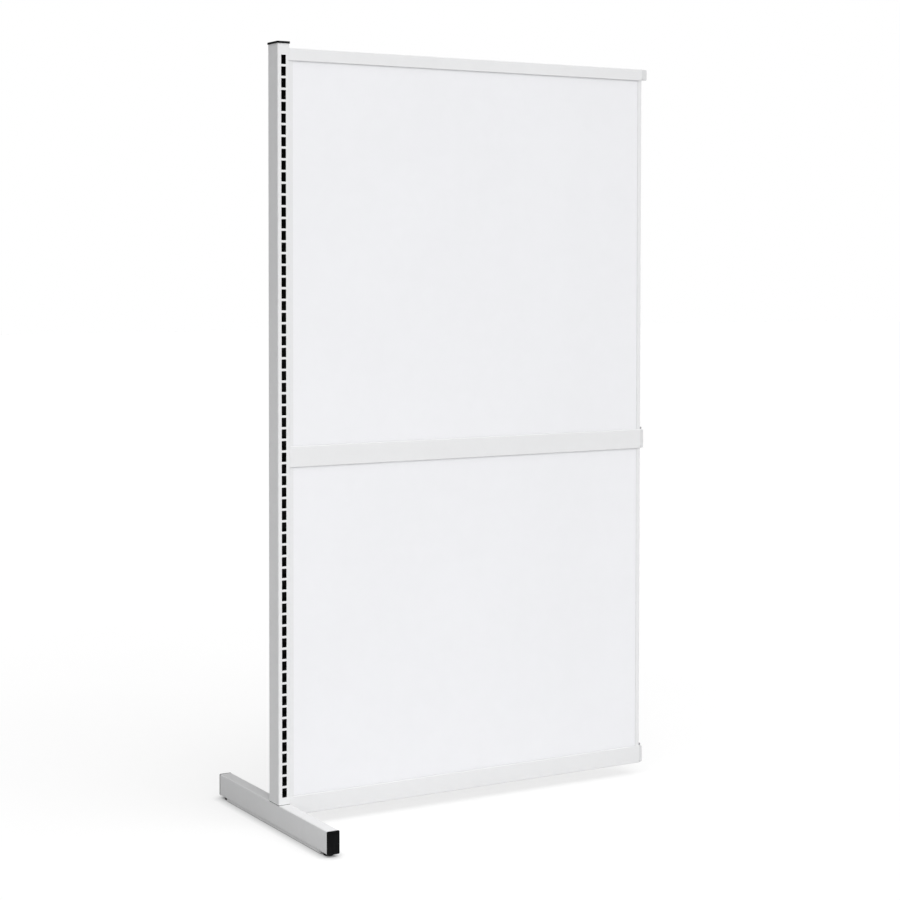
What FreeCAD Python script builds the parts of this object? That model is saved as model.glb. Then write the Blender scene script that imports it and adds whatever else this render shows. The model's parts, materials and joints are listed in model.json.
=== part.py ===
import FreeCAD, Part
import os
import Sketcher
from FreeCAD import Placement, Rotation, Vector

# Free-standing partition wall, one bay: a slotted post on a foot tube, three rails that hang
# on the post, two sandwich panels between the rails, and hooks at the free end for a next post.
# Millimetres. +Z is up, the panels face -Y, the post stands at the -X end. The origin is on the
# floor under the middle of the whole wall.

SIZES = {
    # post: slotted rectangular tube
    "post_width": 28.0,
    "post_depth": 48.0,
    "post_wall": 1.5,
    "post_corner": 2.5,
    "post_length": 1636.0,
    "post_setback": 16.5,  # the post's axis stands this far in front of the foot's middle
    "slot_pitch": 25.0,
    "slot_count": 64.0,
    "slot_width": 11.0,
    "slot_height": 20.0,
    "slot_corner": 1.0,
    "first_slot": 26.5,  # from the post's lower end to the lowest slot's centre
    # moulded caps
    "cap_flange": 4.5,
    "cap_overhang": 1.5,
    "cap_plug_depth": 7.0,
    "cap_plug_wall": 1.8,
    "cap_clearance": 0.1,
    "cap_rim": 3.0,
    "cap_recess": 0.6,
    "end_cap_flange": 3.0,
    "end_cap_overhang": 0.3,
    # foot: tube, bar and the joint with the post
    "foot_length": 539.0,
    "foot_width": 28.0,
    "foot_height": 48.0,
    "foot_wall": 2.0,
    "foot_corner": 2.5,
    "floor_gap": 6.0,
    "bar_width": 27.0,
    "bar_thickness": 4.5,
    "bar_clearance": 4.0,  # between the bar's ends and the levelling pads
    "plug_height": 16.0,
    "plug_clearance": 0.1,
    "bolt_radius": 4.0,
    "bolt_spacing": 20.0,
    "bolt_grip": 12.0,  # length of bolt inside the base plug
    "bolt_head_radius": 6.5,
    "bolt_head_height": 8.0,
    "bolt_socket_radius": 3.46,
    "bolt_socket_depth": 4.0,
    "bolt_hole_play": 0.3,
    "bolt_thread_play": 0.05,
    "washer_thickness": 1.6,
    "washer_radius": 7.5,
    "access_hole_play": 1.5,
    # levelling feet
    "pad_radius": 10.5,
    "pad_height": 3.2,
    "pad_edge": 0.8,
    "pad_socket_depth": 2.0,
    "front_leveller_inset": 20.0,
    "rear_leveller_inset": 22.0,
    "spindle_radius": 4.0,
    "spindle_length": 32.0,
    "spindle_play": 0.05,
    "collar_radius": 7.5,
    "collar_height": 2.3,
    "bush_wall": 2.6,
    "bush_height": 10.0,
    # rails
    "rail_setback": 5.0,
    "rail_gap": 0.5,
    "rail_length": 926.5,
    "rail_wall": 1.5,
    "rail_corner": 1.4,
    "groove_depth": 12.0,
    "top_rail_height": 27.0,
    "mid_rail_height": 45.5,
    "bottom_rail_height": 41.0,
    "top_rail_drop": 8.5,  # from the post's upper end down to the top rail
    "mid_rail_level": 782.0,
    "bottom_rail_level": 27.5,
    # hook brackets
    "cheek_thickness": 2.5,
    "bracket_play": 0.1,
    "tongue_length": 46.0,
    "top_hook_reach": 15.0,
    "hook_reach": 9.0,
    "hook_inset": 1.0,
    "hook_corner": 3.0,
    "notch_height": 5.0,
    "notch_play": 0.3,
    "foot_hook_height": 16.5,
    "hook_slot_play": 0.2,
    "hook_lift_play": 0.5,
    "rivet_radius": 2.0,
    "rivet_play": 0.05,
    "rivet_head_radius": 3.75,
    "rivet_head_height": 1.1,
    "rivet_dome": 0.7,
    "first_rivet": 15.0,
    "rivet_pitch": 20.0,
    # panels
    "skin_thickness": 3.0,
    "panel_side_play": 0.5,
    "panel_end_gap": 1.5,
    "panel_head_play": 3.0,
    "trim_wall": 1.0,
    "trim_leg": 10.0,
    "block_length": 60.0,
    "block_thickness": 2.0,
    "block_inset": 150.0,
    "block_side_play": 2.0,
    "stop_reach": 4.5,
    "stop_height": 5.0,
    "stop_depth": 33.0,
    "stop_play": 0.2,
}

# Places and derived sizes, as expressions on the sheet's cells.
POST_LEFT = (
    "((Sizes.cap_overhang - Sizes.post_width - Sizes.rail_gap - Sizes.rail_length"
    " - Sizes.top_hook_reach) / 2)"
)
POST_X = f"({POST_LEFT} + Sizes.post_width / 2)"
POST_RIGHT = f"({POST_LEFT} + Sizes.post_width)"
POST_Y = "(-Sizes.post_setback)"
FOOT_TOP = "(Sizes.floor_gap + Sizes.foot_height)"
POST_TOP = f"({FOOT_TOP} + Sizes.post_length)"
RAIL_LEFT = f"({POST_RIGHT} + Sizes.rail_gap)"
RAIL_RIGHT = f"({RAIL_LEFT} + Sizes.rail_length)"
RAIL_DEPTH = "(Sizes.post_depth - 2 * Sizes.rail_setback)"
RAIL_INSIDE = f"({RAIL_DEPTH} - 2 * Sizes.rail_wall)"
FRONT_LEVELLER_Y = "(-Sizes.foot_length / 2 + Sizes.front_leveller_inset)"
REAR_LEVELLER_Y = "(Sizes.foot_length / 2 - Sizes.rear_leveller_inset)"
HOLE_RADIUS = "(Sizes.spindle_radius + Sizes.spindle_play)"
TRIM_DEPTH = f"({RAIL_INSIDE} - 2 * Sizes.panel_side_play)"
BOARD_DEPTH = f"({TRIM_DEPTH} - 2 * Sizes.trim_wall)"
CORE_DEPTH = f"({BOARD_DEPTH} - 2 * Sizes.skin_thickness)"
PANEL_LEFT = f"({POST_RIGHT} + Sizes.panel_end_gap)"
PANEL_WIDTH = f"({RAIL_RIGHT} - {PANEL_LEFT})"
CHEEK_OUTSIDE = f"({RAIL_INSIDE} - 2 * Sizes.bracket_play)"
CHEEK_INSIDE = f"({CHEEK_OUTSIDE} - 2 * Sizes.cheek_thickness)"
LONG = "(2 * Sizes.post_length)"  # a cut that leaves the piece on its far side

TOP_RAIL_LEVEL = f"({POST_TOP} - Sizes.top_rail_drop - Sizes.top_rail_height)"
MID_RAIL_LEVEL = "Sizes.mid_rail_level"
BOTTOM_RAIL_LEVEL = "Sizes.bottom_rail_level"
MID_RAIL_TOP = "(Sizes.mid_rail_level + Sizes.mid_rail_height)"
BOTTOM_RAIL_TOP = "(Sizes.bottom_rail_level + Sizes.bottom_rail_height)"

doc = FreeCAD.newDocument("PartitionWall")
NODES = []


def make_sheet():
    """The driving dimensions, one plain number a row, with the alias in the column before it."""
    sheet = doc.addObject("Spreadsheet::Sheet", "Sizes")
    for row, (alias, value) in enumerate(SIZES.items(), start=1):
        sheet.set(f"A{row}", alias)
        sheet.set(f"B{row}", str(value))
        sheet.setAlias(f"B{row}", alias)
    doc.recompute()


def bind(thing, **expressions):
    for path, expression in expressions.items():
        thing.setExpression(path, expression)


def put(thing, x="0", y="0", z="0", rotation=None):
    """Places a piece at expressions x, y, z, turned by rotation."""
    thing.Placement = Placement(Vector(), rotation or Rotation())
    for axis, expression in zip("xyz", (x, y, z)):
        thing.setExpression(f"Placement.Base.{axis}", expression)


def node(thing, label):
    """Names a finished sub-part; the label is its file's name."""
    thing.Label = label
    NODES.append(thing)
    return thing


# ---------------------------------------------------------------- sketches and features


def new_sketch(body, name, role, at):
    """A sketch on one of the body's origin planes, moved to at = (u, v, out of plane)."""
    sketch = body.newObject("Sketcher::SketchObject", name)
    plane = next(f for f in body.Origin.OriginFeatures if f.Role == role)
    sketch.AttachmentSupport = (plane, [""])
    sketch.MapMode = "FlatFace"
    for axis, expression in zip("xyz", at):
        sketch.setExpression(f"AttachmentOffset.Base.{axis}", expression)
    return sketch


def name_last(sketch, name, expression):
    index = sketch.ConstraintCount - 1
    sketch.renameConstraint(index, name)
    sketch.setExpression(f"Constraints.{name}", expression)


def add_rectangle(sketch, tag, width, height):
    """A sharp rectangle centred on the sketch's origin."""
    first = sketch.GeometryCount
    corners = [Vector(-5, -4, 0), Vector(5, -4, 0), Vector(5, 4, 0), Vector(-5, 4, 0)]
    for index in range(4):
        sketch.addGeometry(Part.LineSegment(corners[index], corners[(index + 1) % 4]), False)
    for index in range(4):
        following = first + (index + 1) % 4
        sketch.addConstraint(Sketcher.Constraint("Coincident", first + index, 2, following, 1))
        direction = "Vertical" if index % 2 else "Horizontal"
        sketch.addConstraint(Sketcher.Constraint(direction, first + index))
    sketch.addConstraint(Sketcher.Constraint("Symmetric", first, 1, first + 1, 2, -1, 1))
    sketch.addConstraint(Sketcher.Constraint("DistanceX", first, 1, first, 2, 10))
    name_last(sketch, f"Width{tag}", width)
    sketch.addConstraint(Sketcher.Constraint("DistanceY", first + 1, 1, first + 1, 2, 8))
    name_last(sketch, f"Height{tag}", height)


def add_rounded_rectangle(sketch, tag, width, height, corner):
    """A rectangle with rounded corners, centred on the sketch's origin."""
    first = sketch.GeometryCount
    reach = Vector(5, 4, 0)
    radius = 1.0
    centres = [
        Vector(-reach.x, -reach.y, 0),
        Vector(reach.x, -reach.y, 0),
        Vector(reach.x, reach.y, 0),
        Vector(-reach.x, reach.y, 0),
    ]
    quarter = FreeCAD.Units.Quantity("90 deg").getValueAs("rad").Value
    starts = [2 * quarter, 3 * quarter, 0.0, quarter]
    for centre, start in zip(centres, starts):
        circle = Part.Circle(centre, Vector(0, 0, 1), radius)
        sketch.addGeometry(Part.ArcOfCircle(circle, start, start + quarter), False)
    sides = [
        (Vector(-reach.x, -reach.y - radius, 0), Vector(reach.x, -reach.y - radius, 0)),
        (Vector(reach.x + radius, -reach.y, 0), Vector(reach.x + radius, reach.y, 0)),
        (Vector(reach.x, reach.y + radius, 0), Vector(-reach.x, reach.y + radius, 0)),
        (Vector(-reach.x - radius, reach.y, 0), Vector(-reach.x - radius, -reach.y, 0)),
    ]
    for start, end in sides:
        sketch.addGeometry(Part.LineSegment(start, end), False)
    for index in range(4):
        arc = first + index
        side = first + 4 + index
        next_arc = first + (index + 1) % 4
        sketch.addConstraint(Sketcher.Constraint("Tangent", arc, 2, side, 1))
        sketch.addConstraint(Sketcher.Constraint("Tangent", side, 2, next_arc, 1))
        direction = "Vertical" if index % 2 else "Horizontal"
        sketch.addConstraint(Sketcher.Constraint(direction, side))
    for index in range(1, 4):
        sketch.addConstraint(Sketcher.Constraint("Equal", first, first + index))
    sketch.addConstraint(Sketcher.Constraint("Symmetric", first, 3, first + 2, 3, -1, 1))
    sketch.addConstraint(Sketcher.Constraint("Radius", first, radius))
    name_last(sketch, f"Corner{tag}", corner)
    sketch.addConstraint(Sketcher.Constraint("DistanceX", first, 3, first + 1, 3, 10))
    name_last(sketch, f"Width{tag}", f"{width} - 2 * {corner}")
    sketch.addConstraint(Sketcher.Constraint("DistanceY", first + 1, 3, first + 2, 3, 8))
    name_last(sketch, f"Height{tag}", f"{height} - 2 * {corner}")


def rectangle(body, name, role, width, height, corner=None, at=("0", "0", "0")):
    sketch = new_sketch(body, name, role, at)
    if corner is None:
        add_rectangle(sketch, "", width, height)
    else:
        add_rounded_rectangle(sketch, "", width, height, corner)
    return sketch


def circle(body, name, role, radius, at=("0", "0", "0")):
    sketch = new_sketch(body, name, role, at)
    sketch.addGeometry(Part.Circle(Vector(), Vector(0, 0, 1), 5.0), False)
    sketch.addConstraint(Sketcher.Constraint("Coincident", 0, 3, -1, 1))
    sketch.addConstraint(Sketcher.Constraint("Radius", 0, 5.0))
    name_last(sketch, "Radius", radius)
    return sketch


def pad(body, sketch, length, symmetric=False, reverse=False):
    feature = body.newObject("PartDesign::Pad", f"Pad_{sketch.Name}")
    feature.Profile = sketch
    feature.SideType = "Symmetric" if symmetric else "One side"
    feature.Reversed = reverse
    bind(feature, Length=length)
    doc.recompute()
    return feature


def pocket(body, sketch, length, symmetric=False, reverse=False):
    """Cuts along the sketch's normal backwards, or forwards if reverse; it has to remove metal."""
    before = body.Shape.Volume
    feature = body.newObject("PartDesign::Pocket", f"Pocket_{sketch.Name}")
    feature.Profile = sketch
    feature.SideType = "Symmetric" if symmetric else "One side"
    feature.Reversed = reverse
    bind(feature, Length=length)
    doc.recompute()
    if feature.Shape.Volume >= before:
        raise RuntimeError(f"{feature.Name} in {body.Name} cuts nothing")
    return feature


def fillet(body, edges, radius):
    """Rounds edges of the body's tip, given by their names."""
    base = body.Tip
    feature = body.newObject("PartDesign::Fillet", f"Fillet_{body.Name}")
    feature.Base = (base, edges)
    bind(feature, Radius=radius)
    doc.recompute()
    return feature


def edges_at(shape, test):
    """Names of the edges whose every vertex passes test."""
    return [
        f"Edge{index}"
        for index, edge in enumerate(shape.Edges, start=1)
        if all(test(vertex.Point) for vertex in edge.Vertexes)
    ]


def new_body(label):
    return node(doc.addObject("PartDesign::Body", label.replace("_", "")), label)


# ---------------------------------------------------------------- primitives


def cylinder(name, radius, height, x="0", y="0", z="0"):
    thing = doc.addObject("Part::Cylinder", name)
    bind(thing, Radius=radius, Height=height)
    put(thing, x, y, z)
    return thing


def box(name, length, width, height, x="0", y="0", z="0"):
    """A box centred on x and y, standing on z."""
    thing = doc.addObject("Part::Box", name)
    bind(thing, Length=length, Width=width, Height=height)
    put(thing, f"{x} - ({length}) / 2", f"{y} - ({width}) / 2", z)
    return thing


def hexagon(name, corner_radius, height, x="0", y="0", z="0"):
    thing = doc.addObject("Part::Prism", name)
    thing.Polygon = 6
    bind(thing, Circumradius=corner_radius, Height=height)
    put(thing, x, y, z)
    return thing


def fuse(name, *things):
    joined = doc.addObject("Part::MultiFuse", name)
    joined.Shapes = list(things)
    doc.recompute()
    return joined


def cut(name, base, tool):
    result = doc.addObject("Part::Cut", name)
    result.Base = base
    result.Tool = tool
    doc.recompute()
    return result


def group(label, things):
    """Equal pieces that share one node, each a solid of its own."""
    compound = doc.addObject("Part::Compound", label.replace("_", ""))
    compound.Links = things
    doc.recompute()
    return node(compound, label)


# ---------------------------------------------------------------- post, foot and caps


def make_post():
    body = new_body("post")
    section = new_sketch(body, "PostSection", "XY_Plane", ("0", "0", "0"))
    add_rounded_rectangle(
        section, "Out", "Sizes.post_width", "Sizes.post_depth", "Sizes.post_corner"
    )
    add_rounded_rectangle(
        section,
        "In",
        "(Sizes.post_width - 2 * Sizes.post_wall)",
        "(Sizes.post_depth - 2 * Sizes.post_wall)",
        "(Sizes.post_corner - Sizes.post_wall)",
    )
    pad(body, section, "Sizes.post_length")
    # hook slots for the left brackets of the two rails that hang on the post
    for name, level, height in (
        ("Top", TOP_RAIL_LEVEL, "Sizes.top_rail_height"),
        ("Mid", MID_RAIL_LEVEL, "Sizes.mid_rail_height"),
    ):
        low = f"({level} - {FOOT_TOP} + Sizes.hook_inset + Sizes.notch_height)"
        tall = f"({height} - 2 * Sizes.hook_inset + Sizes.hook_lift_play)"
        cut_hook_slots(body, name, low, tall, "0")
    # one slot through front and back, repeated up the post
    slot = rectangle(
        body,
        "SlotOutline",
        "XZ_Plane",
        "Sizes.slot_width",
        "Sizes.slot_height",
        "Sizes.slot_corner",
        ("0", "Sizes.first_slot", "0"),
    )
    first = pocket(body, slot, "(Sizes.post_depth + 10)", symmetric=True)
    pattern = body.newObject("PartDesign::LinearPattern", "SlotRow")
    pattern.Originals = [first]
    upwards = next(f for f in body.Origin.OriginFeatures if f.Role == "Z_Axis")
    pattern.Direction = (upwards, [""])
    bind(
        pattern,
        Length="Sizes.slot_pitch * (Sizes.slot_count - 1)",
        Occurrences="Sizes.slot_count",
    )
    body.Tip = pattern
    doc.recompute()
    put(body, POST_X, POST_Y, FOOT_TOP)


def cut_hook_slots(body, name, low, tall, y):
    """Two upright slots in the +X wall, one for each cheek of a bracket."""
    width = "(Sizes.cheek_thickness + 2 * Sizes.hook_slot_play)"
    offset = f"(({CHEEK_OUTSIDE} - Sizes.cheek_thickness) / 2)"
    for side, sign in (("Front", "-1"), ("Back", "1")):
        outline = rectangle(
            body,
            f"{name}Hook{side}",
            "YZ_Plane",
            width,
            tall,
            None,
            (f"{y} + ({sign}) * {offset}", f"{low} + {tall} / 2", "0"),
        )
        pocket(body, outline, LONG, reverse=True)


def make_cap(label, width, depth, wall, corner, overhang, flange, place, rotation=None):
    """A moulded cap: a flange with a rounded rim and a shallow recess, and a hollow plug."""
    body = new_body(label)
    name = body.Name
    outer = rectangle(
        body,
        f"{name}Flange",
        "XY_Plane",
        f"({width} + 2 * {overhang})",
        f"({depth} + 2 * {overhang})",
        corner,
    )
    pad(body, outer, flange)
    top = body.Shape.BoundBox.ZMax
    fillet(body, edges_at(body.Shape, lambda p: p.z > top - 0.01), "Sizes.cap_recess")
    inner = rectangle(
        body,
        f"{name}Face",
        "XY_Plane",
        f"({width} - 2 * Sizes.cap_rim)",
        f"({depth} - 2 * Sizes.cap_rim)",
        corner,
        ("0", "0", f"{flange}"),
    )
    pocket(body, inner, "Sizes.cap_recess")
    inside = f"2 * ({wall} + Sizes.cap_clearance)"
    plug = new_sketch(body, f"{name}Plug", "XY_Plane", ("0", "0", "0"))
    add_rectangle(plug, "Out", f"({width} - {inside})", f"({depth} - {inside})")
    add_rectangle(
        plug,
        "In",
        f"({width} - {inside} - 2 * Sizes.cap_plug_wall)",
        f"({depth} - {inside} - 2 * Sizes.cap_plug_wall)",
    )
    pad(body, plug, "Sizes.cap_plug_depth", reverse=True)
    below = edges_at(body.Shape, lambda p: p.z < 0.01)
    upright = [name for name in below if is_outer_upright(body.Shape, name)]
    fillet(body, upright, f"({corner} - {wall} + Sizes.cap_clearance)")
    put(body, *place, rotation)


def is_outer_upright(shape, edge_name):
    """True for the four upright edges on the outside of a cap's plug."""
    edge = shape.Edges[int(edge_name[4:]) - 1]
    ends = [vertex.Point for vertex in edge.Vertexes]
    if len(ends) < 2 or (ends[0] - ends[1]).normalize().cross(Vector(0, 0, 1)).Length > 0.01:
        return False
    below = [v.Point for v in shape.Vertexes if v.Point.z < -0.01]
    reach_x = max(abs(p.x) for p in below)
    reach_y = max(abs(p.y) for p in below)
    return abs(abs(ends[0].x) - reach_x) < 0.01 and abs(abs(ends[0].y) - reach_y) < 0.01


def make_caps():
    make_cap(
        "post_cap",
        "Sizes.post_width",
        "Sizes.post_depth",
        "Sizes.post_wall",
        "Sizes.post_corner",
        "Sizes.cap_overhang",
        "Sizes.cap_flange",
        (POST_X, POST_Y, POST_TOP),
    )
    for label, sign, angle in (("front_foot_cap", "-1", 90), ("rear_foot_cap", "1", -90)):
        make_cap(
            label,
            "Sizes.foot_width",
            "Sizes.foot_height",
            "Sizes.foot_wall",
            "Sizes.foot_corner",
            "Sizes.end_cap_overhang",
            "Sizes.end_cap_flange",
            (POST_X, f"({sign}) * Sizes.foot_length / 2", "Sizes.floor_gap + Sizes.foot_height / 2"),
            Rotation(Vector(1, 0, 0), angle),
        )


def bolt_places():
    """Expressions for the Y of the two bolts that hold the post on the foot."""
    return [f"({POST_Y} + ({sign}) * Sizes.bolt_spacing / 2)" for sign in (-1, 1)]


def make_foot_tube():
    body = new_body("foot_tube")
    section = new_sketch(body, "FootSection", "XZ_Plane", ("0", "0", "0"))
    add_rounded_rectangle(
        section, "Out", "Sizes.foot_width", "Sizes.foot_height", "Sizes.foot_corner"
    )
    add_rounded_rectangle(
        section,
        "In",
        "(Sizes.foot_width - 2 * Sizes.foot_wall)",
        "(Sizes.foot_height - 2 * Sizes.foot_wall)",
        "(Sizes.foot_corner - Sizes.foot_wall)",
    )
    pad(body, section, "Sizes.foot_length", symmetric=True)
    for index, y in enumerate(bolt_places()):
        hole = circle(
            body,
            f"FootBoltHole{index}",
            "XY_Plane",
            "(Sizes.bolt_radius + Sizes.bolt_hole_play)",
            ("0", y, "0"),
        )
        pocket(body, hole, "Sizes.foot_height", reverse=True)
        access = circle(
            body,
            f"FootAccessHole{index}",
            "XY_Plane",
            "(Sizes.bolt_head_radius + Sizes.access_hole_play)",
            ("0", y, "0"),
        )
        pocket(body, access, "Sizes.foot_height")
    for name, y in (("Front", FRONT_LEVELLER_Y), ("Rear", REAR_LEVELLER_Y)):
        hole = circle(body, f"Leveller{name}", "XY_Plane", HOLE_RADIUS, ("0", y, "0"))
        pocket(body, hole, "Sizes.foot_height")
    # hook slots for the bottom rail's left bracket
    middle = "(Sizes.floor_gap + Sizes.foot_height / 2)"
    low = f"({BOTTOM_RAIL_LEVEL} + Sizes.hook_inset + Sizes.notch_height - {middle})"
    cut_hook_slots(
        body, "Foot", low, "(Sizes.foot_hook_height + Sizes.hook_lift_play)", POST_Y
    )
    put(body, POST_X, "0", middle)


def make_foot_bar():
    """A flat bar under the tube, between the levelling pads."""
    body = new_body("foot_bar")
    clear = "(Sizes.pad_radius + Sizes.bar_clearance)"
    length = f"({REAR_LEVELLER_Y} - {FRONT_LEVELLER_Y} - 2 * {clear})"
    middle = f"(({REAR_LEVELLER_Y} + {FRONT_LEVELLER_Y}) / 2)"
    outline = rectangle(
        body, "BarOutline", "XY_Plane", "Sizes.bar_width", length, None, ("0", middle, "0")
    )
    pad(body, outline, "Sizes.bar_thickness")
    for index, y in enumerate(bolt_places()):
        hole = circle(
            body,
            f"BarHole{index}",
            "XY_Plane",
            "(Sizes.bolt_head_radius + Sizes.access_hole_play)",
            ("0", y, "0"),
        )
        pocket(body, hole, "Sizes.bar_thickness", reverse=True)
    put(body, POST_X, "0", "Sizes.floor_gap - Sizes.bar_thickness")


def make_base_plug():
    """The tapped block in the post's lower end."""
    body = new_body("post_base_plug")
    inside = "2 * (Sizes.post_wall + Sizes.plug_clearance)"
    block = rectangle(
        body,
        "PlugBlock",
        "XY_Plane",
        f"(Sizes.post_width - {inside})",
        f"(Sizes.post_depth - {inside})",
        "Sizes.post_corner",
    )
    pad(body, block, "Sizes.plug_height")
    for index, sign in enumerate((-1, 1)):
        hole = circle(
            body,
            f"PlugHole{index}",
            "XY_Plane",
            "(Sizes.bolt_radius + Sizes.bolt_thread_play)",
            ("0", f"({sign}) * Sizes.bolt_spacing / 2", "0"),
        )
        pocket(body, hole, "Sizes.plug_height", reverse=True)
    put(body, POST_X, POST_Y, FOOT_TOP)


def make_base_bolts():
    """Socket-head bolts up through the foot into the base plug, with washers."""
    bearing = f"({FOOT_TOP} - Sizes.foot_wall)"
    under_washer = f"({bearing} - Sizes.washer_thickness)"
    shank = "(Sizes.washer_thickness + Sizes.foot_wall + Sizes.bolt_grip)"
    bolts = []
    washers = []
    for index, y in enumerate(bolt_places()):
        head_level = f"({under_washer} - Sizes.bolt_head_height)"
        head = cylinder(
            f"BoltHead{index}",
            "Sizes.bolt_head_radius",
            "Sizes.bolt_head_height",
            POST_X,
            y,
            head_level,
        )
        stem = cylinder(f"BoltStem{index}", "Sizes.bolt_radius", shank, POST_X, y, under_washer)
        socket = hexagon(
            f"BoltSocket{index}",
            "Sizes.bolt_socket_radius",
            "Sizes.bolt_socket_depth",
            POST_X,
            y,
            head_level,
        )
        bolts.append(cut(f"Bolt{index}", fuse(f"BoltBlank{index}", head, stem), socket))
        disc = cylinder(
            f"WasherDisc{index}",
            "Sizes.washer_radius",
            "Sizes.washer_thickness",
            POST_X,
            y,
            under_washer,
        )
        hole = cylinder(
            f"WasherHole{index}",
            "Sizes.bolt_radius + Sizes.bolt_hole_play",
            "Sizes.washer_thickness",
            POST_X,
            y,
            under_washer,
        )
        washers.append(cut(f"Washer{index}", disc, hole))
    group("post_bolts", bolts)
    group("post_bolt_washers", washers)


def make_leveller(name, y):
    """Pad, threaded spindle with a hexagon collar, and the bush in the foot tube."""
    pad_body = new_body(f"{name}_leveller_pad")
    tag = pad_body.Name
    disc = circle(pad_body, f"{tag}Disc", "XY_Plane", "Sizes.pad_radius")
    pad(pad_body, disc, "Sizes.pad_height")
    rims = [f"Edge{i}" for i, edge in enumerate(pad_body.Shape.Edges, start=1) if edge.Closed]
    fillet(pad_body, rims, "Sizes.pad_edge")
    socket = circle(
        pad_body, f"{tag}Socket", "XY_Plane", HOLE_RADIUS, ("0", "0", "Sizes.pad_height")
    )
    pocket(pad_body, socket, "Sizes.pad_socket_depth")
    put(pad_body, POST_X, y, "0")

    foot = "(Sizes.pad_height - Sizes.pad_socket_depth)"
    stem = cylinder(f"{tag}Stem", "Sizes.spindle_radius", "Sizes.spindle_length", POST_X, y, foot)
    collar = hexagon(
        f"{tag}Collar", "Sizes.collar_radius", "Sizes.collar_height", POST_X, y, "Sizes.pad_height"
    )
    node(fuse(f"{tag}Spindle", stem, collar), f"{name}_leveller_spindle")

    floor = "(Sizes.floor_gap + Sizes.foot_wall)"
    outer = cylinder(
        f"{tag}BushOut",
        f"{HOLE_RADIUS} + Sizes.bush_wall",
        "Sizes.bush_height",
        POST_X,
        y,
        floor,
    )
    bore = cylinder(f"{tag}BushBore", HOLE_RADIUS, "Sizes.bush_height", POST_X, y, floor)
    node(cut(f"{tag}Bush", outer, bore), f"{name}_leveller_bush")


# ---------------------------------------------------------------- rails and their brackets


class Rail:
    """One rail: its size and level, its grooves, and the web that carries its brackets."""

    def __init__(self, name, height, level, lower_groove, upper_groove, reach):
        self.name = name
        self.height = height
        self.level = level
        self.lower_groove = lower_groove
        self.upper_groove = upper_groove
        self.reach = reach
        wall = "Sizes.rail_wall"
        groove = "Sizes.groove_depth"
        self.chamber_low = f"({groove} + {wall})" if lower_groove else wall
        above = f"{groove} + {wall}" if upper_groove else wall
        self.chamber_high = f"({height} - ({above}))"
        # brackets lie on the lower groove's web, or under the upper one's where there is no lower
        self.web_below = lower_groove

    def rivet_x(self):
        """Rivet places along the rail, from its left end."""
        near = ("Sizes.first_rivet", "(Sizes.first_rivet + Sizes.rivet_pitch)")
        far = tuple(f"(Sizes.rail_length - {x})" for x in near)
        return near + far


RAILS = (
    Rail("top", "Sizes.top_rail_height", TOP_RAIL_LEVEL, True, False, "Sizes.top_hook_reach"),
    Rail("mid", "Sizes.mid_rail_height", MID_RAIL_LEVEL, True, True, "Sizes.hook_reach"),
    Rail("bottom", "Sizes.bottom_rail_height", BOTTOM_RAIL_LEVEL, False, True, "Sizes.hook_reach"),
)


def make_rail(rail):
    """A rolled section: a closed chamber, and a groove on each side that holds a panel."""
    body = new_body(f"{rail.name}_rail")
    tag = body.Name
    middle = f"({rail.height} / 2)"
    outside = rectangle(
        body,
        f"{tag}Outside",
        "YZ_Plane",
        RAIL_DEPTH,
        rail.height,
        "Sizes.rail_corner",
        ("0", middle, "0"),
    )
    pad(body, outside, "Sizes.rail_length")
    openings = [("Chamber", rail.chamber_low, rail.chamber_high)]
    if rail.lower_groove:
        openings.append(("LowerGroove", "(-Sizes.groove_depth)", "Sizes.groove_depth"))
    if rail.upper_groove:
        start = f"({rail.height} - Sizes.groove_depth)"
        openings.append(("UpperGroove", start, f"({rail.height} + Sizes.groove_depth)"))
    for name, low, high in openings:
        outline = rectangle(
            body,
            f"{tag}{name}",
            "YZ_Plane",
            RAIL_INSIDE,
            f"({high} - {low})",
            None,
            ("0", f"({high} + {low}) / 2", "0"),
        )
        pocket(body, outline, "Sizes.rail_length", reverse=True)
    start = "Sizes.groove_depth" if rail.web_below else rail.chamber_high
    for index, x in enumerate(rail.rivet_x()):
        hole = circle(
            body,
            f"{tag}RivetHole{index}",
            "XY_Plane",
            "(Sizes.rivet_radius + Sizes.rivet_play)",
            (x, "0", start),
        )
        pocket(body, hole, "Sizes.rail_wall", reverse=True)
    put(body, RAIL_LEFT, POST_Y, rail.level)


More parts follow.
